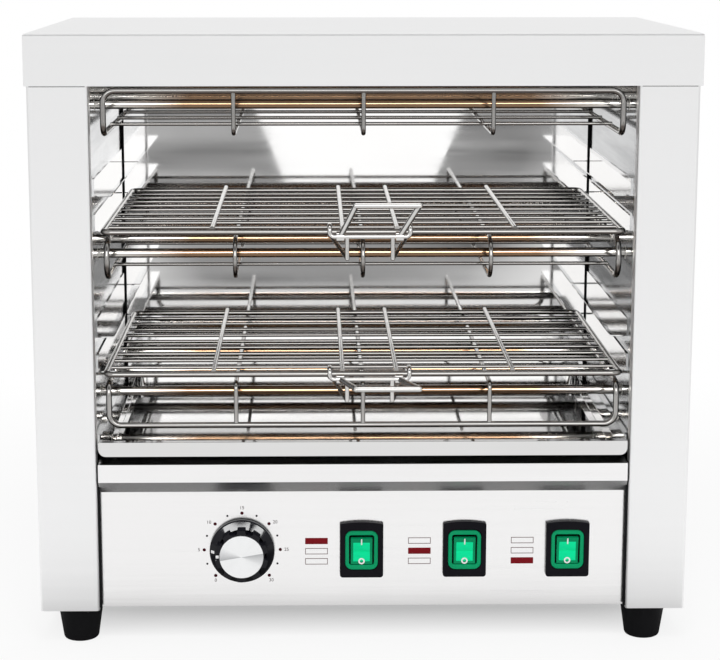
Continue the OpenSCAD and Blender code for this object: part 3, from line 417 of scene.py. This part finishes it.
printLooks = {
    "dialRed": ((0.045, 0.004, 0.008), (0.07, 0.006, 0.012)),
    "barRed": ((0.17, 0.003, 0.007), (0.21, 0.005, 0.010)),
    "dialBlack": ((0.012, 0.010, 0.012), (0.025, 0.022, 0.024)),
    "dialGrey": ((0.03, 0.015, 0.015), (0.05, 0.025, 0.025)),
    "barOutline": ((0.17, 0.12, 0.12), (0.23, 0.17, 0.17)),
    "markWhite": ((0.84, 0.84, 0.84), (0.90, 0.90, 0.90)),
    "lensGreen": ((0.0, 0.74, 0.31), (0.002, 0.86, 0.37)),
}
inkLook = {"skin": 1500, "rough": (0.25, 0.45), "gloss": 0.1}


def printFinish(name, colours):
    material, tree, shader = newMaterial(name)
    skin = fillGroup(tree, mouldedSkin, {"Scale": inkLook["skin"]})
    tree.links.new(mixColour(tree, skin.outputs["Shade"], *colours), shader.inputs["Base Color"])
    tree.links.new(spread(tree, skin.outputs["Height"], *inkLook["rough"]), shader.inputs["Roughness"])
    shader.inputs["Specular IOR Level"].default_value = inkLook["gloss"]
    return material


discLook = {
    "dark": (0.46, 0.465, 0.475), "light": (0.90, 0.905, 0.91), "lift": 0.06,
    "paintedFanDegrees": -10, "paintedFanWidth": 0.22,     # slant of the two darker wedges of the painted fan highlight, and their share of a half turn
    "rings": 450, "streaks": 9, "rough": (0.22, 0.34), "drawnOut": 0.6,
}


def discFinish(name, look):
    material, tree, shader = newMaterial(name)
    place = addNode(tree, "ShaderNodeTexCoord")
    centre = addNode(tree, "ShaderNodeVectorMath", {1: middleOf("knob_cap")}, operation="SUBTRACT")
    turn = addNode(tree, "ShaderNodeMapping",
                   {"Rotation": (math.radians(90), 0, -math.radians(look["paintedFanDegrees"]))})
    rings = addNode(tree, "ShaderNodeTexWave", {"Scale": look["rings"], "Distortion": 0.0},
                    wave_type="RINGS", rings_direction="Y")
    angle = addNode(tree, "ShaderNodeTexGradient", gradient_type="RADIAL")
    tree.links.new(place.outputs["Object"], centre.inputs[0])
    tree.links.new(centre.outputs["Vector"], rings.inputs["Vector"])
    tree.links.new(centre.outputs["Vector"], turn.inputs["Vector"])
    tree.links.new(turn.outputs["Vector"], angle.inputs["Vector"])
    # painted highlight: the base colour is light round the cap but for two darker wedges, a fan like the
    # light on spun metal, which turns with the knob
    paintedFanWedge = combine(tree, "FRACT", combine(tree, "MULTIPLY", angle.outputs["Fac"], 2))
    streaks = addNode(tree, "ShaderNodeTexNoise", {"Scale": look["streaks"], "Detail": 2.0},
                      noise_dimensions="1D")
    tree.links.new(angle.outputs["Fac"], streaks.inputs["W"])
    lit = combine(tree, "ADD", spread(tree, paintedFanWedge, 0, 1, 0, look["paintedFanWidth"]),
                  spread(tree, streaks.outputs["Fac"], -look["lift"], look["lift"], *noiseRange))
    tree.links.new(mixColour(tree, lit, look["dark"], look["light"]), shader.inputs["Base Color"])
    tree.links.new(spread(tree, rings.outputs["Fac"], *look["rough"]), shader.inputs["Roughness"])
    turned = addNode(tree, "ShaderNodeTangent", direction_type="RADIAL", axis="Y")
    tree.links.new(turned.outputs["Tangent"], shader.inputs["Tangent"])
    shader.inputs["Metallic"].default_value = 1
    shader.inputs["Anisotropic"].default_value = look["drawnOut"]
    return material


finishes = {name: metalFinish(name, look) for name, look in metalLooks.items()}
finishes.update({name: plasticFinish(name, look) for name, look in plasticLooks.items()})
finishes.update({name: printFinish(name, colours) for name, colours in printLooks.items()})
finishes["heater_tube"] = heaterFinish("heater_tube", heaterLook)
finishes["spun_aluminium"] = discFinish("spun_aluminium", discLook)
print("finishes made:", len(finishes))


# Pieces
smoothDegrees = 35
touch = 0.01 * mm      # two places nearer than this are one


def addPiece(name, bm, finish, body, flatFaces=False):
    mesh = bpy.data.meshes.new(name)
    bm.to_mesh(mesh)
    bm.free()
    mesh.polygons.foreach_set("use_smooth", [True] * len(mesh.polygons))
    mesh.set_sharp_from_angle(angle=math.radians(smoothDegrees))
    mesh.materials.append(finishes[finish])
    piece = bpy.data.objects.new(name, mesh)
    bpy.context.scene.collection.objects.link(piece)
    if flatFaces:
        weighted = piece.modifiers.new("flatFaces", "WEIGHTED_NORMAL")
        weighted.keep_sharp = True
    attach(piece, body)
    return piece


def bevelEdges(bm, edges, width, segments, clamp=False):
    bmesh.ops.bevel(bm, geom=edges, offset=width, affect="EDGES", segments=segments, profile=0.5, material=-1,
                    clamp_overlap=clamp)


# Copies of hard-edged CAD nodes with their edges rounded: width in millimetres, and the least angle
# that is rounded
copyLook = {"merge": 0.002 * mm, "flat": math.radians(0.3)}
roundings = {
    "top_cover": {"width": 0.3, "segments": 2, "degrees": 40, "fold": 0.9, "foldSegments": 5},
    "left_side_panel": {"width": 0.25, "segments": 2, "degrees": 40},
    "right_side_panel": {"width": 0.25, "segments": 2, "degrees": 40},
    "control_panel": {"width": 0.45, "segments": 3, "degrees": 20},
    "drip_tray": {"width": 0.3, "segments": 2, "degrees": 40},
    "timer_knob": {"width": 0.6, "segments": 3, "degrees": 40},
    "knob_cap": {"width": 0.3, "segments": 2, "degrees": 40},
    "feet": {"width": 0.8, "segments": 3, "degrees": 30},
}
for row in rowNames:
    roundings[row + "_switch_frame"] = {"width": 1.1, "segments": 4, "degrees": 40}
    roundings[row + "_switch_boot"] = {"width": 0.5, "segments": 3, "degrees": 40}
    roundings[row + "_rocker"] = {"width": 0.4, "segments": 3, "degrees": 10}


def roundedCopy(node, rounding):
    bm = bmesh.new()
    bm.from_mesh(nodes[node].data)
    bmesh.ops.remove_doubles(bm, verts=bm.verts, dist=copyLook["merge"])
    bmesh.ops.dissolve_limit(bm, angle_limit=copyLook["flat"], verts=bm.verts, edges=bm.edges)
    least = math.radians(rounding["degrees"])
    if "fold" in rounding:      # the wider fold round the top
        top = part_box(node)[1].z - touch
        folds = [e for e in bm.edges if all(v.co.z > top for v in e.verts) and e.calc_face_angle(0) > least]
        bevelEdges(bm, folds, rounding["fold"] * mm, rounding["foldSegments"], clamp=True)
    edges = [e for e in bm.edges if len(e.link_faces) == 2 and e.calc_face_angle() > least]
    bevelEdges(bm, edges, rounding["width"] * mm, rounding["segments"], clamp=True)
    slot = slotOf[node]
    piece = addPiece(node + "_rounded", bm, slot, bodyOf[node], flatFaces=True)
    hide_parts(node)


# Thin printed and fitted shapes, drawn flat with Z out of the surface
plateLook = {"cornerSegments": 4, "rim": 0.4, "rimSegments": 2}      # rim as a share of the thickness
dotLook = {"segments": 28, "top": 0.46}      # radius of the top as a share of the diameter
letterLook = {"resolution": 4, "merge": 0.001 * mm}
ringSteps = 32


def plate(bm, width, height, thick, corner):
    made = bmesh.ops.create_cube(bm, size=1)["verts"]
    bmesh.ops.scale(bm, verts=made, vec=(width, height, thick))
    bmesh.ops.translate(bm, verts=made, vec=(0, 0, thick / 2))
    upright = [e for e in bm.edges if abs(e.verts[0].co.z - e.verts[1].co.z) > thick / 2]
    bevelEdges(bm, upright, corner, plateLook["cornerSegments"])
    rim = [e for e in bm.edges if min(v.co.z for v in e.verts) > thick - touch]
    bevelEdges(bm, rim, thick * plateLook["rim"], plateLook["rimSegments"])


def disc(bm, diameter, thick):
    bmesh.ops.create_cone(bm, cap_ends=True, segments=dotLook["segments"], radius1=diameter / 2,
                          radius2=diameter * dotLook["top"], depth=thick)
    bmesh.ops.translate(bm, verts=bm.verts, vec=(0, 0, thick / 2))


def turnProfile(bm, corners, steps):
    loop = [bm.verts.new((x, 0, z)) for x, z in corners]
    edges = [bm.edges.new((loop[i - 1], loop[i])) for i in range(len(loop))]
    bmesh.ops.spin(bm, geom=loop + edges, cent=(0, 0, 0), axis=(0, 0, 1), angle=math.tau, steps=steps,
                   use_merge=True)
    bmesh.ops.recalc_face_normals(bm, faces=bm.faces)


def ring(bm, outer, inner, thick):
    turnProfile(bm, [(inner / 2, 0), (outer / 2, 0), (outer / 2, thick), (inner / 2, thick)], ringSteps)


def barOutline(bm, width, height, line, thick):
    bmesh.ops.create_grid(bm, x_segments=1, y_segments=1, size=0.5)
    bmesh.ops.scale(bm, verts=bm.verts, vec=(width, height, 1))
    inside = bm.faces[:]
    bmesh.ops.inset_region(bm, faces=inside, thickness=line, use_boundary=True, use_even_offset=True)
    bmesh.ops.delete(bm, geom=inside, context="FACES")
    raised = bmesh.ops.extrude_face_region(bm, geom=bm.faces[:])["geom"]
    lifted = [part for part in raised if isinstance(part, bmesh.types.BMVert)]
    bmesh.ops.translate(bm, verts=lifted, vec=(0, 0, thick))
    bmesh.ops.recalc_face_normals(bm, faces=bm.faces)


def addShape(bm, place, draw, *sizes):
    shape = bmesh.new()
    draw(shape, *sizes)
    shape.transform(place)
    holder = bpy.data.meshes.new("shape")
    shape.to_mesh(holder)
    shape.free()
    bm.from_mesh(holder)
    bpy.data.meshes.remove(holder)


def words(bm, text, size, thick):
    letters = bpy.data.curves.new("words", "FONT")
    letters.body = text
    letters.size = size
    letters.align_x = "CENTER"
    letters.align_y = "CENTER"
    letters.extrude = thick / 2
    letters.resolution_u = letterLook["resolution"]
    writer = bpy.data.objects.new("words", letters)
    bpy.context.scene.collection.objects.link(writer)
    written = writer.evaluated_get(bpy.context.evaluated_depsgraph_get())
    drawn = bpy.data.meshes.new_from_object(written)
    bm.from_mesh(drawn)
    bmesh.ops.translate(bm, verts=bm.verts, vec=(0, 0, thick / 2))
    bmesh.ops.remove_doubles(bm, verts=bm.verts, dist=letterLook["merge"])
    bpy.data.objects.remove(writer)
    bpy.data.curves.remove(letters)
    bpy.data.meshes.remove(drawn)


# A place on the panel's face: X to the right, Y up and Z towards the viewer
faceTurn = Matrix.Rotation(math.radians(90), 4, "X")
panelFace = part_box("top_switch_frame")[1].y


def onPanel(x, z):
    return Matrix.Translation((x, panelFace, z)) @ faceTurn


dial = {
    "dotRadius": 25.8 * mm, "majorDot": 2.3 * mm, "minorDot": 1.5 * mm, "thick": 0.12 * mm,
    "digits": 3.2 * mm, "startDegrees": -135, "stepDegrees": 45,
    "marks": [("0", 0, -3.4), ("5", -3.6, 0), ("10", -4.2, 1.2), ("15", 0, 3.7), ("20", 4.2, 1.2),
              ("25", 4.3, 0), ("30", 1.4, -3.4)],      # each number and its place from its dot
}


def makeDial(look):
    centre = middleOf("timer_shaft")
    major, minor, digits = bmesh.new(), bmesh.new(), bmesh.new()
    for i, (number, right, up) in enumerate(look["marks"]):
        turn = math.radians(look["startDegrees"] + i * look["stepDegrees"])
        x = centre.x + look["dotRadius"] * math.sin(turn)
        z = centre.z + look["dotRadius"] * math.cos(turn)
        addShape(major, onPanel(x, z), disc, look["majorDot"], look["thick"])
        addShape(digits, onPanel(x + right * mm, z + up * mm), words, number, look["digits"], look["thick"])
        if i:
            half = turn - math.radians(look["stepDegrees"] / 2)
            x = centre.x + look["dotRadius"] * math.sin(half)
            z = centre.z + look["dotRadius"] * math.cos(half)
            addShape(minor, onPanel(x, z), disc, look["minorDot"], look["thick"])
    addPiece("dial_major_dots", major, "dialRed", "casing")
    addPiece("dial_minor_dots", minor, "dialBlack", "casing")
    addPiece("dial_numbers", digits, "dialGrey", "casing")


bars = {
    "width": 15.4 * mm, "height": 4.4 * mm, "line": 0.45 * mm, "thick": 0.12 * mm, "corner": 0.25 * mm,
    "left": 30.6 * mm,                                  # from the middle of the switch
    "heights": (5.5 * mm, -1.7 * mm, -8.9 * mm),
}


def makeBars(look):
    filled, outlined = bmesh.new(), bmesh.new()
    width, height, thick = look["width"], look["height"], look["thick"]
    for i, row in enumerate(rowNames):
        centre = middleOf(row + "_switch_frame")
        for k, up in enumerate(look["heights"]):
            place = onPanel(centre.x - look["left"], centre.z + up)
            if i == k:
                addShape(filled, place, plate, width, height, thick, look["corner"])
            else:
                addShape(outlined, place, barOutline, width, height, look["line"], thick)
    addPiece("row_bars", filled, "barRed", "casing")
    addPiece("row_bar_outlines", outlined, "barOutline", "casing")


switchMarks = {
    "lensWidth": 11.4 * mm, "lensHeight": 7.0 * mm, "lensThick": 0.25 * mm, "lensCorner": 0.4 * mm,
    "lensInner": 0.35 * mm,                             # from the rocker's middle line
    "barWidth": 0.9 * mm, "barHeight": 4.4 * mm, "barInset": 0.3 * mm, "barCorner": 0.27 * mm,
    "ringOuter": 4.4 * mm, "ringInner": 2.5 * mm, "thick": 0.18 * mm,
}
frontNormal = -0.9      # a face whose normal's Y is under this looks to the front


# The upper and lower front faces of a rocker, each as a place on it with Z out of it
def rockerFaces(node):
    mesh = nodes[node].data
    middle = middleOf(node)
    found = []
    for upper in (True, False):
        faces = [p for p in mesh.polygons if p.normal.y < frontNormal and (p.center.z > middle.z) == upper]
        area = sum(p.area for p in faces)
        centre = sum((p.center * p.area for p in faces), Vector()) / area
        out = sum((p.normal * p.area for p in faces), Vector()).normalized()
        right = Vector((1, 0, 0))
        up = right.cross(-out)
        turn = Matrix((right, up, out)).transposed().to_4x4()
        corners = [(mesh.vertices[v].co - centre).dot(up) for p in faces for v in p.vertices]
        found.append((Matrix.Translation(centre) @ turn, min(corners), max(corners)))
    return found


def makeSwitchMarks(row, look):
    node = row + "_rocker"
    lens, marks = bmesh.new(), bmesh.new()
    (upperPlace, upperLow, upperHigh), (lowerPlace, lowerLow, lowerHigh) = rockerFaces(node)
    upperLens = upperLow + look["lensInner"] + look["lensHeight"] / 2
    lowerLens = lowerHigh - look["lensInner"] - look["lensHeight"] / 2
    for place, up in ((upperPlace, upperLens), (lowerPlace, lowerLens)):
        addShape(lens, place @ Matrix.Translation((0, up, 0)), plate,
                 look["lensWidth"], look["lensHeight"], look["lensThick"], look["lensCorner"])
    high = upperHigh - look["barInset"] - look["barHeight"] / 2
    low = lowerLow + look["ringOuter"] / 2
    thick = look["thick"] + look["lensThick"]
    addShape(marks, upperPlace @ Matrix.Translation((0, high, 0)), plate,
             look["barWidth"], look["barHeight"], thick, look["barCorner"])
    addShape(marks, lowerPlace @ Matrix.Translation((0, low, 0)), ring,
             look["ringOuter"], look["ringInner"], thick)
    addPiece(row + "_rocker_lens", lens, "lensGreen", bodyOf[node])
    addPiece(row + "_rocker_marks", marks, "markWhite", bodyOf[node])


knobSkirt = {
    "outer": 21.4 * mm, "inner": 16.6 * mm, "rise": 3.9 * mm, "steps": 96,
    "soft": 0.5 * mm, "softSegments": 3,
    "flat": 2.2 * mm,      # thickness of the flat skirt under it
}
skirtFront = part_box("timer_knob")[1].y - knobSkirt["flat"]


# The sloping face of the knob's skirt, from its rim up to the grip
def makeKnobSkirt(look):
    centre = middleOf("timer_shaft")
    bm = bmesh.new()
    turnProfile(bm, [(look["inner"], 0), (look["outer"], 0), (look["inner"], look["rise"])], look["steps"])
    rim = [e for e in bm.edges if all(abs(v.co.xy.length - look["outer"]) < touch for v in e.verts)]
    bevelEdges(bm, rim, look["soft"], look["softSegments"])
    bm.transform(Matrix.Translation((centre.x, skirtFront, centre.z)) @ faceTurn)
    addPiece("knob_skirt", bm, "knob_black", "timer_knob", flatFaces=True)


pointer = {
    "width": 2.0 * mm, "thick": 0.15 * mm, "corner": 0.3 * mm,
    "skirtFrom": 18.3 * mm, "skirtTo": 21.3 * mm, "gripFrom": 15.2 * mm, "gripTo": 17.3 * mm,
}


# White marks on the skirt and the grip of the knob, pointing to the left
def makePointer(look):
    centre = middleOf("timer_shaft")
    bm = bmesh.new()
    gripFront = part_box("knob_cap")[1].y
    slope = math.atan(knobSkirt["rise"] / (knobSkirt["outer"] - knobSkirt["inner"]))
    skirtMiddle = (look["skirtFrom"] + look["skirtTo"]) / 2
    skirtRise = (knobSkirt["outer"] - skirtMiddle) * math.tan(slope)
    gripMiddle = (look["gripFrom"] + look["gripTo"]) / 2
    for reach, front, length, tilt in (
            (skirtMiddle, skirtFront - skirtRise, look["skirtTo"] - look["skirtFrom"], slope),
            (gripMiddle, gripFront, look["gripTo"] - look["gripFrom"], 0)):
        place = Matrix.Translation((centre.x - reach, front, centre.z)) @ faceTurn
        addShape(bm, place @ Matrix.Rotation(-tilt, 4, "Y"), plate,
                 length, look["width"], look["thick"], look["corner"])
    addPiece("knob_pointer", bm, "markWhite", "timer_knob")


ovenSeamShade = {"width": 1.8 * mm, "thick": 0.3 * mm, "corner": 0.1 * mm}


# Dark strips in the open seams between the back wall and the side liners, painted shade where the gaps lie in
# shadow
def makeOvenSeamShade(look):
    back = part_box("back_liner")[0].y
    low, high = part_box("oven_floor")[1].z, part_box("ceiling_plate")[0].z
    bm = bmesh.new()
    half = look["width"] / 2
    for x in (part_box("left_liner")[1].x + half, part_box("right_liner")[0].x - half):
        place = Matrix.Translation((x, back, (low + high) / 2)) @ faceTurn
        addShape(bm, place, plate, look["width"], high - low, look["thick"], look["corner"])
    addPiece("oven_seam_shade_strips", bm, "rubber", "casing")


caseSeamShade = {
    "margin": 0.05 * mm, "front": 3.4 * mm, "back": 0.9 * mm,       # beside the panel, from its face
    "lip": 0.5 * mm, "thick": 0.2 * mm, "inset": 1.8 * mm,          # under the cover, on the columns
    "corner": 0.05 * mm,
}


# Dark strips beside the control panel and under the edge of the cover, painted shade for the shadowed gaps
# and the shadow line under the cover
def makeCaseSeamShade(look):
    bm = bmesh.new()
    panel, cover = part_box("control_panel"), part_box("top_cover")
    panelMiddle = middleOf("control_panel").z
    for side, column in ((-1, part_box("left_side_panel")), (1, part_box("right_side_panel"))):
        inner = min(abs(column[0].x), abs(column[1].x))
        gap = inner - panel[1].x
        place = Matrix.Translation((side * (inner - gap / 2), panelFace + look["back"], panelMiddle))
        addShape(bm, place @ faceTurn, plate, gap - 2 * look["margin"], panel[1].z - panel[0].z,
                 look["front"] + look["back"], look["corner"])
        columnMiddle = (column[0].x + column[1].x) / 2
        width = column[1].x - column[0].x - 2 * look["inset"]
        place = Matrix.Translation((columnMiddle, column[0].y, cover[0].z - look["lip"] / 2))
        addShape(bm, place @ faceTurn, plate, width, look["lip"], look["thick"], look["corner"])
    addPiece("case_seam_shade_strips", bm, "rubber", "casing")


for name, rounding in roundings.items():
    roundedCopy(name, rounding)
print("edges rounded:", len(roundings))
makeDial(dial)
makeBars(bars)
for row in rowNames:
    makeSwitchMarks(row, switchMarks)
makeKnobSkirt(knobSkirt)
makePointer(pointer)
makeOvenSeamShade(ovenSeamShade)
makeCaseSeamShade(caseSeamShade)
print("panel marks and seams made")

for name, node in nodes.items():
    node.material_slots[0].material = finishes[slotOf[name]]
nodes["left_liner"].material_slots[0].material = finishes["liner_steel"]
# the right liner gets the darker copy: painted shade
nodes["right_liner"].material_slots[0].material = finishes["painted_shade_liner_steel"]
handles = [level + part for level in ("upper", "lower") for part in ("_handle_bracket", "_bail")]
# the handles get the lighter copy of the wire steel: painted light
for name in handles:
    nodes[name].material_slots[0].material = finishes["painted_light_handle_steel"]
for name in handles + ["upper_rack", "lower_rack"]:
    nodes[name].visible_glossy = False      # no doubles of the racks in the oven wall

# Studio: a pale floor under a white sky, soft lamps, and a card that shows in the polished oven
studio = {
    "lamps": [
        ("overheadLamp", (0.0, -1.0, 1.8), (0.5, 0.3), 9),
        ("leftLamp", (-1.7, -1.3, 1.1), (1.0, 1.2), 9),
        ("rightLamp", (1.7, -1.3, 1.1), (1.0, 1.2), 9),
    ],
    "aim": Vector((0, 0, 0.2)),
}
ovenLight = {      # a tall soft lamp for the wires
    "lamps": [("ovenLamp", (0.0, -1.75, 1.0), (1.8, 0.9), 12)],
    "lit": ("wire_steel", "painted_light_handle_steel"),
}
handleLight = {    # an overhead lamp for the handles
    "lamps": [("handleLamp", (0.0, -0.35, 1.9), (1.6, 1.2), 8)],
    "lit": ("painted_light_handle_steel",), "facing": (0, 0, -1),
}
heaterLight = {    # a bright one for the tubes
    "lamps": [("heaterLamp", (0.0, -1.75, 0.9), (1.8, 0.8), 80)],
    "lit": ("heater_tube",),
}
wallLight = {      # a low strip that the oven walls pass on to the rods in front of them
    "lamps": [("wallLamp", (0.0, -1.9, 0.56), (1.6, 0.28), 1.1)],
    "lit": ("polished_steel", "liner_steel", "painted_shade_liner_steel"),
}
knobLight = {      # two soft lamps for the gloss of the knob
    "lamps": [("knobLamp", (-0.475, -0.74, 0.95), (1.55, 0.5), 90),
              ("knobSideLamp", (0.75, -0.74, 0.81), (0.7, 0.5), 40)],
    "lit": ("knob_black",),
}
floorLook = {
    "size": 6, "colour": (0.84, 0.84, 0.84), "paler": (0.87, 0.87, 0.87),
    "skin": 60, "rough": 0.9, "gloss": 0.1,
    "white": (0.86, 1), "whiteReach": 0.5,      # share of plain white where the floor is seen, near and far
    "under": 0.5, "underReach": (-0.1, -0.05), "underSides": (-0.03, 0),      # and less of it under the part
    "nearShade": 0.12, "nearReach": 0.05,       # in reflections it is darker close round the part
    "farFrom": 0.95, "farTo": 1.05, "farSpread": (0.17, 0.272),      # streaked far out in front
    "streaks": (1.3, 3.6, 1), "streakRange": (0.36, 0.64), "streakTones": (0.16, 0.62),
    "sideShade": 0.72, "sideFrom": (0, 0.5), "wide": 0.9,      # and duller behind and far to the sides
}
skyLook = {
    "light": 0.55,      # on dull surfaces; the rest is for reflections
    "low": 0.78, "rise": 0.4, "frontShade": 1.0, "frontDegrees": (16, 40),
    "sideShade": 0.93, "sideFrom": (0.2, 0.8),
    "highShade": 0.15, "highFrom": (0.5, 0.65), "highBack": (-0.5, -0.2),      # dark high up in front
}
cardLook = {
    "corners": [(-0.068, 0.13), (0.132, 0.13), (0.19, 0.267), (-0.123, 0.267)], "ahead": 1.05, "glow": 1.35,
}


def addStage(name, bm, material):
    mesh = bpy.data.meshes.new(name)
    bm.to_mesh(mesh)
    bm.free()
    mesh.materials.append(material)
    stand = bpy.data.objects.new(name, mesh)
    bpy.context.scene.collection.objects.link(stand)
    return stand


def makeFloor(look):
    material, tree, shader = newMaterial("floorPaint")
    skin = fillGroup(tree, mouldedSkin, {"Scale": look["skin"]})
    colour = mixColour(tree, skin.outputs["Shade"], look["colour"], look["paler"])
    tree.links.new(colour, shader.inputs["Base Color"])
    shader.inputs["Roughness"].default_value = look["rough"]
    shader.inputs["Specular IOR Level"].default_value = look["gloss"]
    place = addNode(tree, "ShaderNodeTexCoord")
    parts = addNode(tree, "ShaderNodeSeparateXYZ")
    tree.links.new(place.outputs["Object"], parts.inputs["Vector"])
    aside = combine(tree, "ABSOLUTE", parts.outputs["X"])
    along = combine(tree, "ABSOLUTE", parts.outputs["Y"])
    beyondSide = combine(tree, "SUBTRACT", aside, cadBox[1].x)
    beyondFront = combine(tree, "SUBTRACT", along, cadBox[1].y)
    outside = combine(tree, "MAXIMUM", beyondSide, beyondFront)
    near = spread(tree, outside, look["nearShade"], 1, 0, look["nearReach"])
    ahead = combine(tree, "MULTIPLY", parts.outputs["Y"], -1)
    mapping = addNode(tree, "ShaderNodeMapping", {"Scale": look["streaks"]})
    noise = addNode(tree, "ShaderNodeTexNoise", {"Scale": 1.0, "Detail": 2.0})
    tree.links.new(place.outputs["Object"], mapping.inputs["Vector"])
    tree.links.new(mapping.outputs["Vector"], noise.inputs["Vector"])
    streaks = spread(tree, noise.outputs["Fac"], *look["streakTones"], *look["streakRange"])
    far = blendValues(tree, spread(tree, ahead, 0, 1, look["farFrom"], look["farTo"]), 1, streaks)
    slant = combine(tree, "DIVIDE", aside, combine(tree, "MAXIMUM", ahead, look["farFrom"]))
    beside = spread(tree, slant, 0, 1, *look["farSpread"])
    turned = combine(tree, "MAXIMUM", parts.outputs["Y"], combine(tree, "SUBTRACT", aside, look["wide"]))
    dim = combine(tree, "MULTIPLY", near, spread(tree, turned, 1, look["sideShade"], *look["sideFrom"]))
    mirrored = combine(tree, "MULTIPLY", dim, blendValues(tree, beside, far, 1))
    rays = addNode(tree, "ShaderNodeLightPath").outputs
    seen = combine(tree, "MAXIMUM", rays["Is Camera Ray"], rays["Is Glossy Ray"])
    seen = combine(tree, "MAXIMUM", seen, rays["Is Transmission Ray"])
    glow = addNode(tree, "ShaderNodeEmission")
    tree.links.new(blendValues(tree, rays["Is Glossy Ray"], 1, mirrored), glow.inputs["Strength"])
    mix = addNode(tree, "ShaderNodeMixShader")
    under = combine(tree, "MULTIPLY", spread(tree, beyondSide, 1, 0, *look["underSides"]),
                    spread(tree, beyondFront, 1, 0, *look["underReach"]))
    white = combine(tree, "MULTIPLY", spread(tree, outside, *look["white"], 0, look["whiteReach"]),
                    spread(tree, under, 1, look["under"]))
    tree.links.new(combine(tree, "MULTIPLY", seen, white), mix.inputs[0])
    tree.links.new(shader.outputs["BSDF"], mix.inputs[1])
    tree.links.new(glow.outputs["Emission"], mix.inputs[2])
    tree.links.new(mix.outputs["Shader"], tree.nodes["Material Output"].inputs["Surface"])
    material.cycles.emission_sampling = "NONE"      # the glow is for direct sight only
    bm = bmesh.new()
    bmesh.ops.create_grid(bm, x_segments=1, y_segments=1, size=look["size"])
    addStage("floor", bm, material)


def makeCard(look):
    material, tree, shader = newMaterial("cardGlow")
    shader.inputs["Base Color"].default_value = (0, 0, 0, 1)
    shader.inputs["Emission Color"].default_value = (1, 1, 1, 1)
    shader.inputs["Emission Strength"].default_value = look["glow"]
    bm = bmesh.new()
    bm.faces.new([bm.verts.new((x, -look["ahead"], z)) for x, z in look["corners"]])
    card = addStage("studioCard", bm, material)
    card.visible_camera = False
    card.visible_diffuse = False
    card.visible_shadow = False


def makeSky(look):
    world = bpy.data.worlds.new("sky")
    world.use_nodes = True
    tree = world.node_tree
    rays = addNode(tree, "ShaderNodeLightPath").outputs
    direction = addNode(tree, "ShaderNodeTexCoord")
    parts = addNode(tree, "ShaderNodeSeparateXYZ")
    tree.links.new(direction.outputs["Generated"], parts.inputs["Vector"])
    rise = spread(tree, parts.outputs["Z"], look["low"], 1, 0, look["rise"])
    inner, outer = (math.cos(math.radians(degrees)) for degrees in look["frontDegrees"])
    front = spread(tree, combine(tree, "MULTIPLY", parts.outputs["Y"], -1), 0, 1, outer, inner)
    turned = combine(tree, "MAXIMUM", parts.outputs["Y"], combine(tree, "ABSOLUTE", parts.outputs["X"]))
    dim = combine(tree, "MULTIPLY", rise, spread(tree, turned, 1, look["sideShade"], *look["sideFrom"]))
    high = combine(tree, "MULTIPLY", spread(tree, parts.outputs["Z"], 0, 1, *look["highFrom"]),
                   spread(tree, parts.outputs["Y"], 1, 0, *look["highBack"]))
    mirrored = blendValues(tree, front, dim, look["frontShade"])
    mirrored = blendValues(tree, high, mirrored, look["highShade"])
    lighting = blendValues(tree, rays["Is Glossy Ray"], look["light"], mirrored)
    shown = blendValues(tree, rays["Is Camera Ray"], lighting, 1)
    tree.links.new(shown, tree.nodes["Background"].inputs["Strength"])
    tree.nodes["Background"].inputs["Color"].default_value = (1, 1, 1, 1)
    world.cycles.sampling_method = "NONE"
    bpy.context.scene.world = world


def addLamp(name, place, size, power, aim):
    lamp = bpy.data.lights.new(name, "AREA")
    lamp.shape = "RECTANGLE"
    lamp.size, lamp.size_y = size
    lamp.energy = power
    holder = bpy.data.objects.new(name, lamp)
    holder.location = place
    holder.visible_camera = False
    holder.rotation_euler = (aim - Vector(place)).to_track_quat("-Z", "Y").to_euler()
    bpy.context.scene.collection.objects.link(holder)
    return holder


def makeLamps(look):
    for row in look["lamps"]:
        addLamp(*row, look["aim"]).visible_glossy = False      # the steel mirrors the sky alone


# Lamps that light only the pieces with some finishes, and face the back unless the look says otherwise
def makeLinkedLamps(look):
    lit = bpy.data.collections.new(look["lamps"][0][0])
    wanted = [finishes[finish] for finish in look["lit"]]
    for piece in bpy.context.scene.objects:
        shown = piece.type == "MESH" and piece.name not in roundings      # rounded copies hide those nodes
        if shown and piece.material_slots[0].material in wanted:
            lit.objects.link(piece)
    for row in look["lamps"]:
        facing = Vector(look.get("facing", (0, 1, 0)))
        lamp = addLamp(*row, Vector(row[1]) + facing)
        lamp.light_linking.receiver_collection = lit
        if "facing" in look:
            lamp.light_linking.blocker_collection = lit      # the cover doesn't shade it


makeCamera(cameraPlace)
makeFloor(floorLook)
makeSky(skyLook)
makeCard(cardLook)
makeLamps(studio)
for light in (ovenLight, handleLight, heaterLight, wallLight, knobLight):
    makeLinkedLamps(light)
bpy.context.scene.view_settings.view_transform = "Standard"
print("studio ready")
